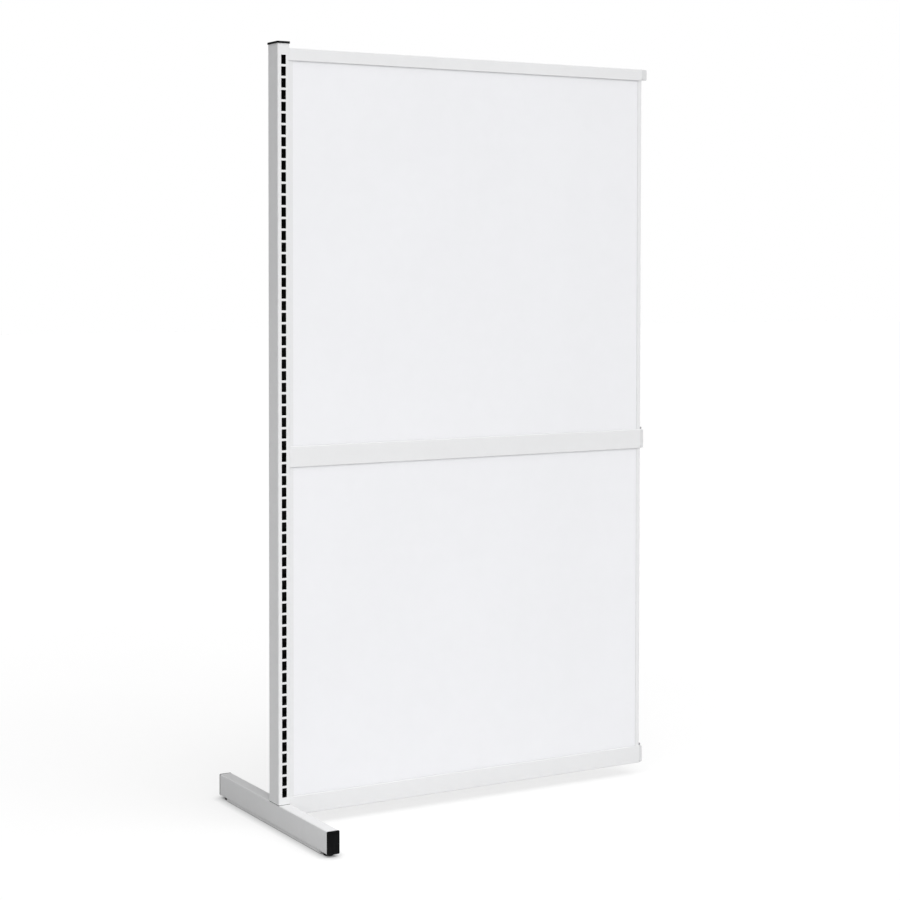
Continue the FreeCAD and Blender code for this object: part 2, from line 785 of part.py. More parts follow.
def make_bracket(rail, side):
    """A folded bracket: two cheeks joined by a web inside the rail, with hooks outside it."""
    body = new_body(f"{rail.name}_{side}_hook_bracket")
    tag = body.Name
    in_foot = rail.name == "bottom" and side == "left"
    reach = rail.reach if side == "right" else "Sizes.hook_reach"
    play = "Sizes.bracket_play"
    tongue_low = f"({rail.chamber_low} + {play})"
    tongue_high = f"({rail.chamber_high} - {play})"
    hook_low = "Sizes.hook_inset"
    if in_foot:
        hook_high = "(Sizes.hook_inset + Sizes.foot_hook_height)"
    else:
        hook_high = f"({rail.height} - Sizes.hook_inset)"
    # the cheek's outline, as a solid block over the whole width
    tongue = rectangle(
        body,
        f"{tag}Tongue",
        "XZ_Plane",
        "Sizes.tongue_length",
        f"({tongue_high} - {tongue_low})",
        None,
        ("-Sizes.tongue_length / 2", f"({tongue_high} + {tongue_low}) / 2", "0"),
    )
    pad(body, tongue, CHEEK_OUTSIDE, symmetric=True)
    hook = rectangle(
        body,
        f"{tag}Hook",
        "XZ_Plane",
        reach,
        f"({hook_high} - {hook_low})",
        None,
        (f"{reach} / 2", f"({hook_high} + {hook_low}) / 2", "0"),
    )
    pad(body, hook, CHEEK_OUTSIDE, symmetric=True)
    fillet(body, across_edges(body.Shape), "Sizes.hook_corner")
    # the space between the cheeks, less the web
    web = "(Sizes.cheek_thickness)"
    if rail.web_below:
        space_low, space_high = f"({tongue_low} + {web})", tongue_high
    else:
        space_low, space_high = tongue_low, f"({tongue_high} - {web})"
    space = rectangle(
        body,
        f"{tag}Space",
        "XZ_Plane",
        "Sizes.tongue_length",
        f"({space_high} - {space_low})",
        None,
        ("-Sizes.tongue_length / 2", f"({space_high} + {space_low}) / 2", "0"),
    )
    pocket(body, space, CHEEK_INSIDE, symmetric=True)
    outside = rectangle(
        body,
        f"{tag}Outside",
        "XZ_Plane",
        reach,
        f"(4 * {rail.height})",
        None,
        (f"{reach} / 2", "0", "0"),
    )
    pocket(body, outside, CHEEK_INSIDE, symmetric=True)
    hooked_wall = "Sizes.foot_wall" if in_foot else "Sizes.post_wall"
    notch_width = f"(Sizes.rail_gap + {hooked_wall} + Sizes.notch_play)"
    notch = rectangle(
        body,
        f"{tag}Notch",
        "XZ_Plane",
        notch_width,
        "(2 * Sizes.notch_height)",
        None,
        (f"{notch_width} / 2", hook_low, "0"),
    )
    pocket(body, notch, LONG, symmetric=True)
    # rivet holes in the web
    start = tongue_low if rail.web_below else space_high
    for index, x in enumerate(("Sizes.first_rivet", "(Sizes.first_rivet + Sizes.rivet_pitch)")):
        hole = circle(
            body,
            f"{tag}RivetHole{index}",
            "XY_Plane",
            "(Sizes.rivet_radius + Sizes.rivet_play)",
            (f"(-{x})", "0", start),
        )
        pocket(body, hole, "Sizes.cheek_thickness", reverse=True)
    if side == "left":
        put(body, RAIL_LEFT, POST_Y, rail.level, Rotation(Vector(0, 0, 1), 180))
    else:
        put(body, RAIL_RIGHT, POST_Y, rail.level)


def across_edges(shape):
    """Names of the edges that run across the hook's far end, from front to back."""
    far = max(vertex.Point.x for vertex in shape.Vertexes)
    names = []
    for index, edge in enumerate(shape.Edges, start=1):
        ends = [vertex.Point for vertex in edge.Vertexes]
        if len(ends) == 2 and all(p.x > far - 0.01 for p in ends):
            if abs(ends[0].y - ends[1].y) > abs(ends[0].z - ends[1].z):
                names.append(f"Edge{index}")
    return names


def make_rivets(rail):
    """Dome-head rivets through a groove's web and a bracket's web."""
    web = "Sizes.rail_wall"
    stack = f"({web} + Sizes.bracket_play + Sizes.cheek_thickness)"
    head = "Sizes.rivet_head_height"
    rivets = []
    for index, x in enumerate(rail.rivet_x()):
        place = f"({RAIL_LEFT} + {x})"
        groove_face = "Sizes.groove_depth" if rail.web_below else f"({rail.chamber_high} + {web})"
        if rail.web_below:
            low = f"({rail.level} + {groove_face})"
        else:
            low = f"({rail.level} + {groove_face} - {stack})"
        high = f"({low} + {stack})"
        tag = f"{rail.name}Rivet{index}"
        shank = cylinder(f"{tag}Shank", "Sizes.rivet_radius", stack, place, POST_Y, low)
        wide = "Sizes.rivet_head_radius"
        under = cylinder(f"{tag}Low", wide, head, place, POST_Y, f"{low} - {head}")
        over = cylinder(f"{tag}High", wide, head, place, POST_Y, high)
        blank = fuse(f"{tag}Blank", shank, under, over)
        domed = doc.addObject("Part::Fillet", f"{tag}Domed")
        domed.Base = blank
        ends = (blank.Shape.BoundBox.ZMin, blank.Shape.BoundBox.ZMax)
        dome = SIZES["rivet_dome"]
        domed.Edges = [
            (number, dome, dome)
            for number, edge in enumerate(blank.Shape.Edges, start=1)
            if edge.Closed and min(abs(edge.Vertexes[0].Point.z - end) for end in ends) < 0.01
        ]
        doc.recompute()
        rivets.append(domed)
    group(f"{rail.name}_rail_rivets", rivets)


# ---------------------------------------------------------------- panels


class Panel:
    """One panel: where its lower and upper ends sit in the rails' grooves."""

    def __init__(self, name, lower_rail_top, upper_rail_level):
        self.name = name
        self.lower_rail_top = lower_rail_top
        self.upper_rail_level = upper_rail_level
        self.groove_floor = f"({lower_rail_top} - Sizes.groove_depth)"
        self.low = f"({self.groove_floor} + Sizes.block_thickness)"
        high = f"({upper_rail_level} + Sizes.groove_depth - Sizes.panel_head_play)"
        self.tall = f"({high} - {self.low})"


PANELS = (
    Panel("upper", MID_RAIL_TOP, TOP_RAIL_LEVEL),
    Panel("lower", BOTTOM_RAIL_TOP, MID_RAIL_LEVEL),
)


def make_board(panel):
    """Two skins on a core; the edge trims cover the board's upright edges."""
    length = f"({PANEL_WIDTH} - 2 * Sizes.trim_wall)"
    middle = f"({PANEL_LEFT} + {PANEL_WIDTH} / 2)"
    layers = (
        ("front_skin", "Sizes.skin_thickness", f"(-({CORE_DEPTH} + Sizes.skin_thickness) / 2)"),
        ("core", CORE_DEPTH, "0"),
        ("rear_skin", "Sizes.skin_thickness", f"(({CORE_DEPTH} + Sizes.skin_thickness) / 2)"),
    )
    for layer, thickness, offset in layers:
        label = f"{panel.name}_panel_{layer}"
        name = label.replace("_", "")
        slab = box(name, length, thickness, panel.tall, middle, f"({POST_Y} + {offset})", panel.low)
        node(slab, label)


def make_trim(panel, side):
    """A U-shaped edge trim over one upright edge of the board."""
    body = new_body(f"{panel.name}_{side}_edge_trim")
    tag = body.Name
    outside = rectangle(
        body,
        f"{tag}Outside",
        "XY_Plane",
        "Sizes.trim_leg",
        TRIM_DEPTH,
        None,
        ("Sizes.trim_leg / 2", "0", "0"),
    )
    pad(body, outside, panel.tall)
    inside = rectangle(
        body,
        f"{tag}Inside",
        "XY_Plane",
        "Sizes.trim_leg",
        BOARD_DEPTH,
        None,
        ("Sizes.trim_leg / 2 + Sizes.trim_wall", "0", "0"),
    )
    pocket(body, inside, panel.tall, reverse=True)
    if side == "left":
        put(body, PANEL_LEFT, POST_Y, panel.low)
    else:
        put(body, RAIL_RIGHT, POST_Y, panel.low, Rotation(Vector(0, 0, 1), 180))


def make_setting_blocks(panel):
    """The two blocks in the groove that the panel stands on."""
    blocks = []
    for index, x in enumerate(
        (f"({RAIL_LEFT} + Sizes.block_inset)", f"({RAIL_RIGHT} - Sizes.block_inset)")
    ):
        blocks.append(
            box(
                f"{panel.name}Block{index}",
                "Sizes.block_length",
                f"({RAIL_INSIDE} - 2 * Sizes.block_side_play)",
                "Sizes.block_thickness",
                x,
                POST_Y,
                panel.groove_floor,
            )
        )
    group(f"{panel.name}_setting_blocks", blocks)


def make_corner_stops(panel):
    """Small stops beside the panel's lower corners, against the edge trims."""
    thin = "(Sizes.panel_end_gap - Sizes.stop_play)"
    left = f"({PANEL_LEFT} - {thin} / 2)"
    right = f"({RAIL_RIGHT} + Sizes.stop_reach / 2)"
    low = f"({panel.lower_rail_top} + Sizes.stop_play)"
    stops = []
    for side, x, thickness in (("Left", left, thin), ("Right", right, "Sizes.stop_reach")):
        stops.append(
            box(
                f"{panel.name}Stop{side}",
                thickness,
                "Sizes.stop_depth",
                "Sizes.stop_height",
                x,
                POST_Y,
                low,
            )
        )
    group(f"{panel.name}_corner_stops", stops)


# ---------------------------------------------------------------- build, check and write


def check():
    doc.recompute()
    for thing in doc.Objects:
        if "Invalid" in thing.State or "Error" in thing.State:
            raise RuntimeError(f"{thing.Name} is {thing.State}")
    labels = [thing.Label for thing in NODES]
    if len(set(labels)) != len(labels):
        raise RuntimeError("two sub-parts share a label")
    for thing in NODES:
        shape = thing.Shape
        if shape.isNull() or not shape.isValid() or not shape.Solids:
            raise RuntimeError(f"{thing.Label} has no valid solid")


def write():
    os.makedirs("parts", exist_ok=True)
    for thing in NODES:
        thing.Shape.exportStep(f"parts/{thing.Label}.step")
        box_ = thing.Shape.BoundBox
        print(
            f"{thing.Label}: {len(thing.Shape.Solids)} solid(s),"
            f" x {box_.XMin:.1f} to {box_.XMax:.1f},"
            f" y {box_.YMin:.1f} to {box_.YMax:.1f},"
            f" z {box_.ZMin:.1f} to {box_.ZMax:.1f}"
        )


make_sheet()
make_post()
make_caps()
make_foot_tube()
make_foot_bar()
make_base_plug()
make_base_bolts()
make_leveller("front", FRONT_LEVELLER_Y)
make_leveller("rear", REAR_LEVELLER_Y)
for rail in RAILS:
    make_rail(rail)
    make_bracket(rail, "left")
    make_bracket(rail, "right")
    make_rivets(rail)
for panel in PANELS:
    make_board(panel)
    make_trim(panel, "left")
    make_trim(panel, "right")
    make_setting_blocks(panel)
    make_corner_stops(panel)
check()
write()
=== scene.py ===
"""Looks of a free-standing display partition: finishes, moulded and turned pieces, studio."""

import json
import logging
import math
from dataclasses import dataclass
from enum import Enum

import bmesh
import bpy
from mathutils import Matrix, Vector


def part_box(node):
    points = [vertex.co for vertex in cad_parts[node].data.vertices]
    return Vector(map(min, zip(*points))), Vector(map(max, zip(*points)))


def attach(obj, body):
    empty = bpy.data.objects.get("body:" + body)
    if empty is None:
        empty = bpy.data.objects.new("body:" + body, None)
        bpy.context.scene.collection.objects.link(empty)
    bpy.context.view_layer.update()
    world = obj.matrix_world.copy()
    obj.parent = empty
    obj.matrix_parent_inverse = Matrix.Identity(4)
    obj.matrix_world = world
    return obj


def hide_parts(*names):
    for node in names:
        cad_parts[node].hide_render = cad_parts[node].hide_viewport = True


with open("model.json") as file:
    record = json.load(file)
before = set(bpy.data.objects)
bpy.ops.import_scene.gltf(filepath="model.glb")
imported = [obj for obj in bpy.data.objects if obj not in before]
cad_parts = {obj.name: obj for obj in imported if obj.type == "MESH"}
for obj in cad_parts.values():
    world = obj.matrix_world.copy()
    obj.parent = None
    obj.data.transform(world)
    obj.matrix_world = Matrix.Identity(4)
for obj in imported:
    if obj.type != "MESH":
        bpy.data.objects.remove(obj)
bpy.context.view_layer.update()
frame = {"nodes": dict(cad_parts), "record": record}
LOG = logging.getLogger("partition")
MM = 0.001

Colour = tuple[float, float, float]
Socket = bpy.types.NodeSocket


class Side(Enum):
    """The two ends of the foot, each with its own levelling foot."""

    FRONT = "front"
    REAR = "rear"


class Level(Enum):
    """The three rails."""

    TOP = "top"
    MID = "mid"
    BOTTOM = "bottom"


# ------------------------------------------------------------------ node writing


class NodeWriter:
    """Adds and links nodes in one tree, so a finish reads as its steps."""

    def __init__(self, tree: bpy.types.NodeTree) -> None:
        """Keeps the tree to write in.

        Args:
            tree: A material's, a world's or a group's node tree.
        """
        self.tree = tree

    def add(self, kind: str, settings: dict | None = None, **inputs: object) -> bpy.types.Node:
        """Adds a node.

        Args:
            kind: The node's class, without "ShaderNode".
            settings: Attributes to set on the node.
            **inputs: Values or sockets for its inputs, by name, with _ for a space.

        Returns:
            The new node.
        """
        node = self.tree.nodes.new(f"ShaderNode{kind}")
        for name, value in (settings or {}).items():
            setattr(node, name, value)
        for name, value in inputs.items():
            self.feed(node.inputs[name.replace("_", " ")], value)
        return node

    def feed(self, target: Socket, value: object) -> None:
        """Links a socket to an input, or sets the input's value.

        Args:
            target: The input.
            value: A socket, a number or a colour.
        """
        if isinstance(value, bpy.types.NodeSocket):
            self.tree.links.new(value, target)
        elif isinstance(value, tuple) and len(value) == 3 and target.type == "RGBA":
            target.default_value = (*value, 1.0)
        else:
            target.default_value = value

    def math(self, operation: str, first: object, second: object = 0.0, clamp: bool = False) -> Socket:
        """Adds a Math node.

        Args:
            operation: The node's operation.
            first: Its first value or socket.
            second: Its second value or socket.
            clamp: Whether the result is held between 0 and 1.

        Returns:
            The result.
        """
        node = self.add("Math", {"operation": operation, "use_clamp": clamp})
        self.feed(node.inputs[0], first)
        self.feed(node.inputs[1], second)
        return node.outputs[0]

    def between(self, value: Socket, low: float, high: float, bottom: float, top: float) -> Socket:
        """Maps a value from low..high to bottom..top, smoothly and held inside.

        Args:
            value: The socket to map.
            low: Input that gives bottom.
            high: Input that gives top.
            bottom: Lowest result.
            top: Highest result.

        Returns:
            The mapped value.
        """
        node = self.add("MapRange", {"interpolation_type": "SMOOTHSTEP"}, Value=value)
        for name, number in (("From Min", low), ("From Max", high), ("To Min", bottom), ("To Max", top)):
            node.inputs[name].default_value = number
        return node.outputs["Result"]

    def noise(self, place: Socket, scale: object, detail: float = 2.0, roughness: float = 0.5) -> Socket:
        """Adds a 3-D noise texture.

        Args:
            place: Where to read it.
            scale: Cells to the metre.
            detail: Octaves.
            roughness: How strong the fine octaves are.

        Returns:
            The noise, from 0 to 1.
        """
        node = self.add(
            "TexNoise",
            {"noise_dimensions": "3D"},
            Vector=place,
            Scale=scale,
            Detail=detail,
            Roughness=roughness,
        )
        return node.outputs["Fac"]

    def stretched(self, place: Socket, factors: tuple[float, float, float]) -> Socket:
        """Scales a coordinate unevenly.

        Args:
            place: The coordinate.
            factors: Factors for X, Y and Z.

        Returns:
            The scaled coordinate.
        """
        node = self.add("Mapping", None, Vector=place)
        node.inputs["Scale"].default_value = factors
        return node.outputs[0]

    def mix(self, amount: object, first: object, second: object, blend: str = "MIX") -> Socket:
        """Mixes two colours.

        Args:
            amount: Share of the second, 0 to 1.
            first: Colour or socket.
            second: Colour or socket.
            blend: The blend mode.

        Returns:
            The mixed colour.
        """
        node = self.add("Mix", {"data_type": "RGBA", "blend_type": blend})
        self.feed(node.inputs[0], amount)
        self.feed(node.inputs[6], first)
        self.feed(node.inputs[7], second)
        return node.outputs[2]


class Effects:
    """Node groups that the finishes share, each made once."""

    def __init__(self) -> None:
        """Builds the groups."""
        self.wear = self._edge_wear()
        self.tone = self._tone()
        self.grain = self._grain()
        self.scratches = self._scratches()
        self.dust = self._dust()

    @staticmethod
    def _group(name: str, inputs: dict[str, tuple[str, object]], outputs: dict[str, str]) -> tuple:
        """Starts a node group.

        Args:
            name: The group's name.
            inputs: Input name to its socket kind and default.
            outputs: Output name to its socket kind.

        Returns:
            The group, a writer for it, its input node and its output node.
        """
        group = bpy.data.node_groups.new(name, "ShaderNodeTree")
        for title, (kind, value) in inputs.items():
            socket = group.interface.new_socket(title, in_out="INPUT", socket_type=f"NodeSocket{kind}")
            if value is not None:
                socket.default_value = value
        for title, kind in outputs.items():
            group.interface.new_socket(title, in_out="OUTPUT", socket_type=f"NodeSocket{kind}")
        start = group.nodes.new("NodeGroupInput")
        end = group.nodes.new("NodeGroupOutput")
        return group, NodeWriter(group), start, end

    def _edge_wear(self) -> bpy.types.NodeTree:
        """Mask of rubbed edges: where a rounded normal leaves the true one, broken up by noise.

        Returns:
            The group, with inputs Place, Radius and Amount and the output Mask.
        """
        group, write, start, end = self._group(
            "EdgeWear",
            {"Place": ("Vector", None), "Radius": ("Float", 0.0008), "Amount": ("Float", 1.0)},
            {"Mask": "Float"},
        )
        rounded = write.add("Bevel", {"samples": 4}, Radius=start.outputs["Radius"])
        true = write.add("NewGeometry")
        dot = write.add("VectorMath", {"operation": "DOT_PRODUCT"})
        write.feed(dot.inputs[0], rounded.outputs[0])
        write.feed(dot.inputs[1], true.outputs["Normal"])
        edge = write.between(dot.outputs["Value"], 0.985, 0.86, 0.0, 1.0)
        broken = write.noise(start.outputs["Place"], 38.0, 5.0, 0.62)
        breakup = write.between(broken, 0.52, 0.68, 0.0, 1.0)
        mask = write.math("MULTIPLY", edge, breakup)
        write.feed(end.inputs["Mask"], write.math("MULTIPLY", mask, start.outputs["Amount"], True))
        return group

    def _tone(self) -> bpy.types.NodeTree:
        """Slow and fine changes of tone over a colour.

        Returns:
            The group, with inputs Place, Colour, Second and Amount, and outputs Colour and Cloud.
        """
        group, write, start, end = self._group(
            "Tone",
            {
                "Place": ("Vector", None),
                "Colour": ("Color", (0.8, 0.8, 0.8, 1.0)),
                "Second": ("Color", (0.7, 0.7, 0.7, 1.0)),
                "Amount": ("Float", 0.3),
            },
            {"Colour": "Color", "Cloud": "Float"},
        )
        slow = write.noise(start.outputs["Place"], 3.1, 3.0, 0.55)
        middle = write.noise(start.outputs["Place"], 27.0, 4.0, 0.6)
        fine = write.noise(start.outputs["Place"], 420.0, 2.0, 0.5)
        cloud = write.math("ADD", write.math("MULTIPLY", slow, 0.55), write.math("MULTIPLY", middle, 0.3))
        cloud = write.math("ADD", cloud, write.math("MULTIPLY", fine, 0.15))
        spread = write.between(cloud, 0.36, 0.64, 0.0, 1.0)
        amount = write.math("MULTIPLY", spread, start.outputs["Amount"])
        colour = write.mix(amount, start.outputs["Colour"], start.outputs["Second"])
        write.feed(end.inputs["Colour"], colour)
        write.feed(end.inputs["Cloud"], spread)
        return group

    def _grain(self) -> bpy.types.NodeTree:
        """Height of a fine surface grain: soft pebbles with finer specks on them.

        Returns:
            The group, with inputs Place, Pebbles and Specks, in cells to the metre, and Height.
        """
        group, write, start, end = self._group(
            "Grain",
            {"Place": ("Vector", None), "Pebbles": ("Float", 700.0), "Specks": ("Float", 2600.0)},
            {"Height": "Float"},
        )
        pebbles = write.add(
            "TexVoronoi",
            {"feature": "SMOOTH_F1"},
            Vector=start.outputs["Place"],
            Scale=start.outputs["Pebbles"],
        )
        soft = write.noise(start.outputs["Place"], start.outputs["Pebbles"], 2.0, 0.4)
        specks = write.noise(start.outputs["Place"], start.outputs["Specks"], 3.0, 0.55)
        height = write.math("ADD", write.math("MULTIPLY", pebbles.outputs["Distance"], 0.35), soft)
        write.feed(end.inputs["Height"], write.math("ADD", height, write.math("MULTIPLY", specks, 0.3)))
        return group

    def _scratches(self) -> bpy.types.NodeTree:
        """Mask of thin handling marks that run two ways.

        Returns:
            The group, with inputs Place and Amount, and the output Mask.
        """
        group, write, start, end = self._group(
            "Scratches", {"Place": ("Vector", None), "Amount": ("Float", 1.0)}, {"Mask": "Float"}
        )
        bent = write.add("VectorMath", {"operation": "ADD"})
        write.feed(bent.inputs[0], start.outputs["Place"])
        sway = write.add("TexNoise", None, Vector=start.outputs["Place"], Scale=6.0)
        shrink = write.add("VectorMath", {"operation": "SCALE"})
        write.feed(shrink.inputs[0], sway.outputs["Color"])
        shrink.inputs["Scale"].default_value = 0.02
        write.feed(bent.inputs[1], shrink.outputs[0])
        along = write.noise(write.stretched(bent.outputs[0], (11.0, 300.0, 640.0)), 1.0, 2.0)
        upright = write.noise(write.stretched(bent.outputs[0], (720.0, 280.0, 14.0)), 1.0, 2.0)
        along = write.between(along, 0.69, 0.76, 0.0, 1.0)
        upright = write.between(upright, 0.7, 0.77, 0.0, 1.0)
        lines = write.math("MAXIMUM", along, upright)
        patches = write.between(write.noise(start.outputs["Place"], 9.0, 2.0), 0.5, 0.66, 0.0, 1.0)
        mask = write.math("MULTIPLY", lines, patches)
        write.feed(end.inputs["Mask"], write.math("MULTIPLY", mask, start.outputs["Amount"], True))
        return group

    def _dust(self) -> bpy.types.NodeTree:
        """Mask of dust, on faces that look up and low down near the floor.

        Returns:
            The group, with inputs Place and Amount, and the output Mask.
        """
        group, write, start, end = self._group(
            "Dust", {"Place": ("Vector", None), "Amount": ("Float", 1.0)}, {"Mask": "Float"}
        )
        normal = write.add("SeparateXYZ", None, Vector=write.add("NewGeometry").outputs["Normal"])
        place = write.add("SeparateXYZ", None, Vector=start.outputs["Place"])
        up = write.between(normal.outputs["Z"], 0.55, 0.95, 0.0, 0.8)
        low = write.between(place.outputs["Z"], 0.07, 0.0, 0.0, 0.6)
        film = write.between(write.noise(start.outputs["Place"], 60.0, 5.0, 0.65), 0.4, 0.7, 0.15, 1.0)
        mask = write.math("MULTIPLY", write.math("MAXIMUM", up, low), film)
        write.feed(end.inputs["Mask"], write.math("MULTIPLY", mask, start.outputs["Amount"], True))
        return group


# ------------------------------------------------------------------ finishes


@dataclass(frozen=True)
class Finish:
    """One surface finish; every one gets tone, grain, wear, marks and dust at its own scale."""

    name: str
    colour: Colour
    second: Colour
    tone: float = 0.5
    roughness: float = 0.45
    rough_spread: float = 0.1
    metallic: float = 0.0
    coat: float = 0.0
    sheen: float = 0.0
    specular: float = 0.5
    # Colour of painted shade, used only by finishes that paint shade.
    painted_shade: Colour = (0.02, 0.02, 0.02)
    pebbles: float = 700.0
    specks: float = 2600.0
    grain_depth: float = 0.00006
    grain_strength: float = 0.3
    edge_radius: float = 0.0005
    worn: Colour = (0.5, 0.5, 0.5)
    wear: float = 0.5
    marks: float = 0.2
    marks_bare: float = 0.45
    marks_polish: float = 0.12
    wear_spread: float = 1.6
    coat_roughness: float = 0.25
    dust: float = 0.2
    dust_rough: float = 0.35
    dust_colour: Colour = (0.62, 0.6, 0.57)

    def height(self, write: NodeWriter, place: Socket, effects: Effects) -> Socket:
        """The relief under the finish's bump.

        Args:
            write: Writer of the material's tree.
            place: Object coordinates.
            effects: The shared groups.

        Returns:
            The height, 0 to about 1.
        """
        grain = write.add("Group", {"node_tree": effects.grain}, Place=place)
        grain.inputs["Pebbles"].default_value = self.pebbles
        grain.inputs["Specks"].default_value = self.specks
        return grain.outputs["Height"]

    def tint(self, write: NodeWriter, place: Socket, colour: Socket) -> Socket:
        """A finish's own pattern of colour, over its tone; plain here.

        Args:
            write: Writer of the material's tree.
            place: Object coordinates.
            colour: The colour so far.

        Returns:
            The colour with the pattern.
        """
        return colour

    def unshaded(self, write: NodeWriter, place: Socket) -> Socket | None:
        """Where the finish shows without painted shade; everywhere here.

        Args:
            write: Writer of the material's tree.
            place: Object coordinates.

        Returns:
            A mask, 1 on the finish and 0 where shade is painted, or None for everywhere.
        """
        return None

    def material(self, effects: Effects) -> bpy.types.Material:
        """Writes the finish as a material.

        Args:
            effects: The shared groups.

        Returns:
            The material.
        """
        made = bpy.data.materials.new(self.name)
        made.use_nodes = True
        tree = made.node_tree
        tree.nodes.clear()
        write = NodeWriter(tree)
        place = write.add("TexCoord").outputs["Object"]
        tone = write.add("Group", {"node_tree": effects.tone}, Place=place)
        write.feed(tone.inputs["Colour"], self.colour)
        write.feed(tone.inputs["Second"], self.second)
        tone.inputs["Amount"].default_value = self.tone
        colour = self.tint(write, place, tone.outputs["Colour"])
        wear = write.add("Group", {"node_tree": effects.wear}, Place=place)
        wear.inputs["Radius"].default_value = self.edge_radius * self.wear_spread
        wear.inputs["Amount"].default_value = self.wear
        marks = write.add("Group", {"node_tree": effects.scratches}, Place=place)
        marks.inputs["Amount"].default_value = self.marks
        dust = write.add("Group", {"node_tree": effects.dust}, Place=place)
        dust.inputs["Amount"].default_value = self.dust
        bared = write.math("MULTIPLY", marks.outputs["Mask"], self.marks_bare)
        rubbed = write.math("MAXIMUM", wear.outputs["Mask"], bared)
        colour = write.mix(rubbed, colour, self.worn)
        colour = write.mix(dust.outputs["Mask"], colour, self.dust_colour)
        # Painted shade: where the mask is 0 the colour becomes the shade colour.
        unshaded = self.unshaded(write, place)
        if unshaded is not None:
            colour = write.mix(unshaded, self.painted_shade, colour)
        rough = write.math("MULTIPLY", tone.outputs["Cloud"], self.rough_spread)
        rough = write.math("ADD", rough, self.roughness - self.rough_spread / 2)
        rough = write.math("ADD", rough, write.math("MULTIPLY", dust.outputs["Mask"], self.dust_rough))
        polish = write.math("MULTIPLY", marks.outputs["Mask"], self.marks_polish)
        rough = write.math("SUBTRACT", rough, polish, True)
        edges = write.add("Bevel", {"samples": 4}, Radius=self.edge_radius)
        relief = write.math("SUBTRACT", self.height(write, place, effects), marks.outputs["Mask"])
        bump = write.add("Bump", None, Height=relief, Normal=edges.outputs[0])
        bump.inputs["Strength"].default_value = self.grain_strength
        bump.inputs["Distance"].default_value = self.grain_depth
        shader = write.add("BsdfPrincipled", None, Base_Color=colour, Roughness=rough, Normal=bump.outputs[0])
        shader.inputs["Metallic"].default_value = self.metallic
        shader.inputs["Coat Weight"].default_value = self.coat
        shader.inputs["Coat Roughness"].default_value = self.coat_roughness
        shader.inputs["Sheen Weight"].default_value = self.sheen
        # The painted shade also puts out the specular.
        if unshaded is None:
            shader.inputs["Specular IOR Level"].default_value = self.specular
        else:
            write.feed(shader.inputs["Specular IOR Level"], write.math("MULTIPLY", unshaded, self.specular))
        output = write.add("OutputMaterial", None, Surface=shader.outputs[0])
        output.is_active_output = True
        return made


@dataclass(frozen=True)
class PaintedBoard(Finish):
    """Rolled paint on fibreboard: a fine stipple, with faint roller lanes down the board."""

    lane_width: float = 0.18

    def height(self, write: NodeWriter, place: Socket, effects: Effects) -> Socket:
        """Stipple that swells and fades across the roller's lanes.

        Args:
            write: Writer of the material's tree.
            place: Object coordinates.
            effects: The shared groups.

        Returns:
            The height.
        """
        stipple = super().height(write, place, effects)
        lanes = write.noise(write.stretched(place, (1.0 / self.lane_width, 1.0, 0.6)), 1.0, 2.0)
        return write.math("MULTIPLY", stipple, write.between(lanes, 0.3, 0.7, 0.75, 1.0))

    def tint(self, write: NodeWriter, place: Socket, colour: Socket) -> Socket:
        """Lanes a hair darker where the roller overlapped.

        Args:
            write: Writer of the material's tree.
            place: Object coordinates.
            colour: The colour so far.

        Returns:
            The colour with the lanes.
        """
        lanes = write.noise(write.stretched(place, (1.0 / self.lane_width, 1.0, 0.25)), 1.0, 3.0)
        amount = write.between(lanes, 0.45, 0.75, 0.0, 0.22)
        return write.mix(amount, colour, self.second)


@dataclass(frozen=True)
class TubePaint(Finish):
    """Powder coat on the post and what joins it, with painted shade: near black inside the tube, on its slot
    walls and in a band at its lower joint.
    """

    node: str = "post"
    wall: float = 1.5 * MM
    slot_width: float = 11.0 * MM
    lip: float = 0.25 * MM
    # seam and seam_reach, with beyond below, size the band of painted shade at the post's lower joint.
    seam: float = 0.7 * MM
    seam_reach: float = 0.3 * MM
    margin: float = 0.02 * MM
    beyond: float = 1.0 * MM
    # Painted shade: near black, put inside the tube, on its slot walls and at its lower joint.
    painted_shade: Colour = (0.004, 0.004, 0.0045)

    def _within(self, write: NodeWriter, place: Socket, reach: tuple[float, float, float]) -> Socket:
        """Mask of a box about the tube's centre.

        Args:
            write: Writer of the material's tree.
            place: Object coordinates.
            reach: Half sizes of the box.

        Returns:
            1 inside the box, 0 outside.
        """
        low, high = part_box(self.node)
        axes = write.add("SeparateXYZ", None, Vector=place)
        near = []
        for index, axis in enumerate("XYZ"):
            test = write.add("Math", {"operation": "COMPARE"})
            write.feed(test.inputs[0], axes.outputs[axis])
            test.inputs[1].default_value = (low[index] + high[index]) / 2
            test.inputs[2].default_value = reach[index]
            near.append(test.outputs[0])
        return write.math("MULTIPLY", write.math("MULTIPLY", near[0], near[1]), near[2])

    def unshaded(self, write: NodeWriter, place: Socket) -> Socket:
        """Where the paint shows without painted shade: near-black painted shade fills the tube's inside, its
        slot walls and a band at the joint at its lower end.

        Args:
            write: Writer of the material's tree.
            place: Object coordinates.

        Returns:
            1 on the paint, 0 where the shade is painted.
        """
        low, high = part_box(self.node)
        half = [(high[axis] - low[axis]) / 2 for axis in range(3)]
        tall = half[2] - self.margin / 2
        inner = self.wall - self.margin
        hollow = self._within(write, place, (half[0] - inner, half[1] - inner, tall))
        slots = self._within(write, place, (self.slot_width / 2 + self.margin, half[1] - self.lip, tall))
        reach = (half[0] + self.beyond, half[1] + self.seam_reach, half[2] + self.beyond)
        around = self._within(write, place, reach)
        base = write.add("Math", {"operation": "COMPARE"})
        write.feed(base.inputs[0], write.add("SeparateXYZ", None, Vector=place).outputs["Z"])
        base.inputs[1].default_value = low[2]
        base.inputs[2].default_value = self.seam
        joint = write.math("MULTIPLY", around, base.outputs[0])
        # Painted shade goes in the hollow, on the slot walls and in the joint band.
        painted_shade = write.math("MAXIMUM", write.math("MAXIMUM", hollow, slots), joint)
        return write.math("SUBTRACT", 1.0, painted_shade)


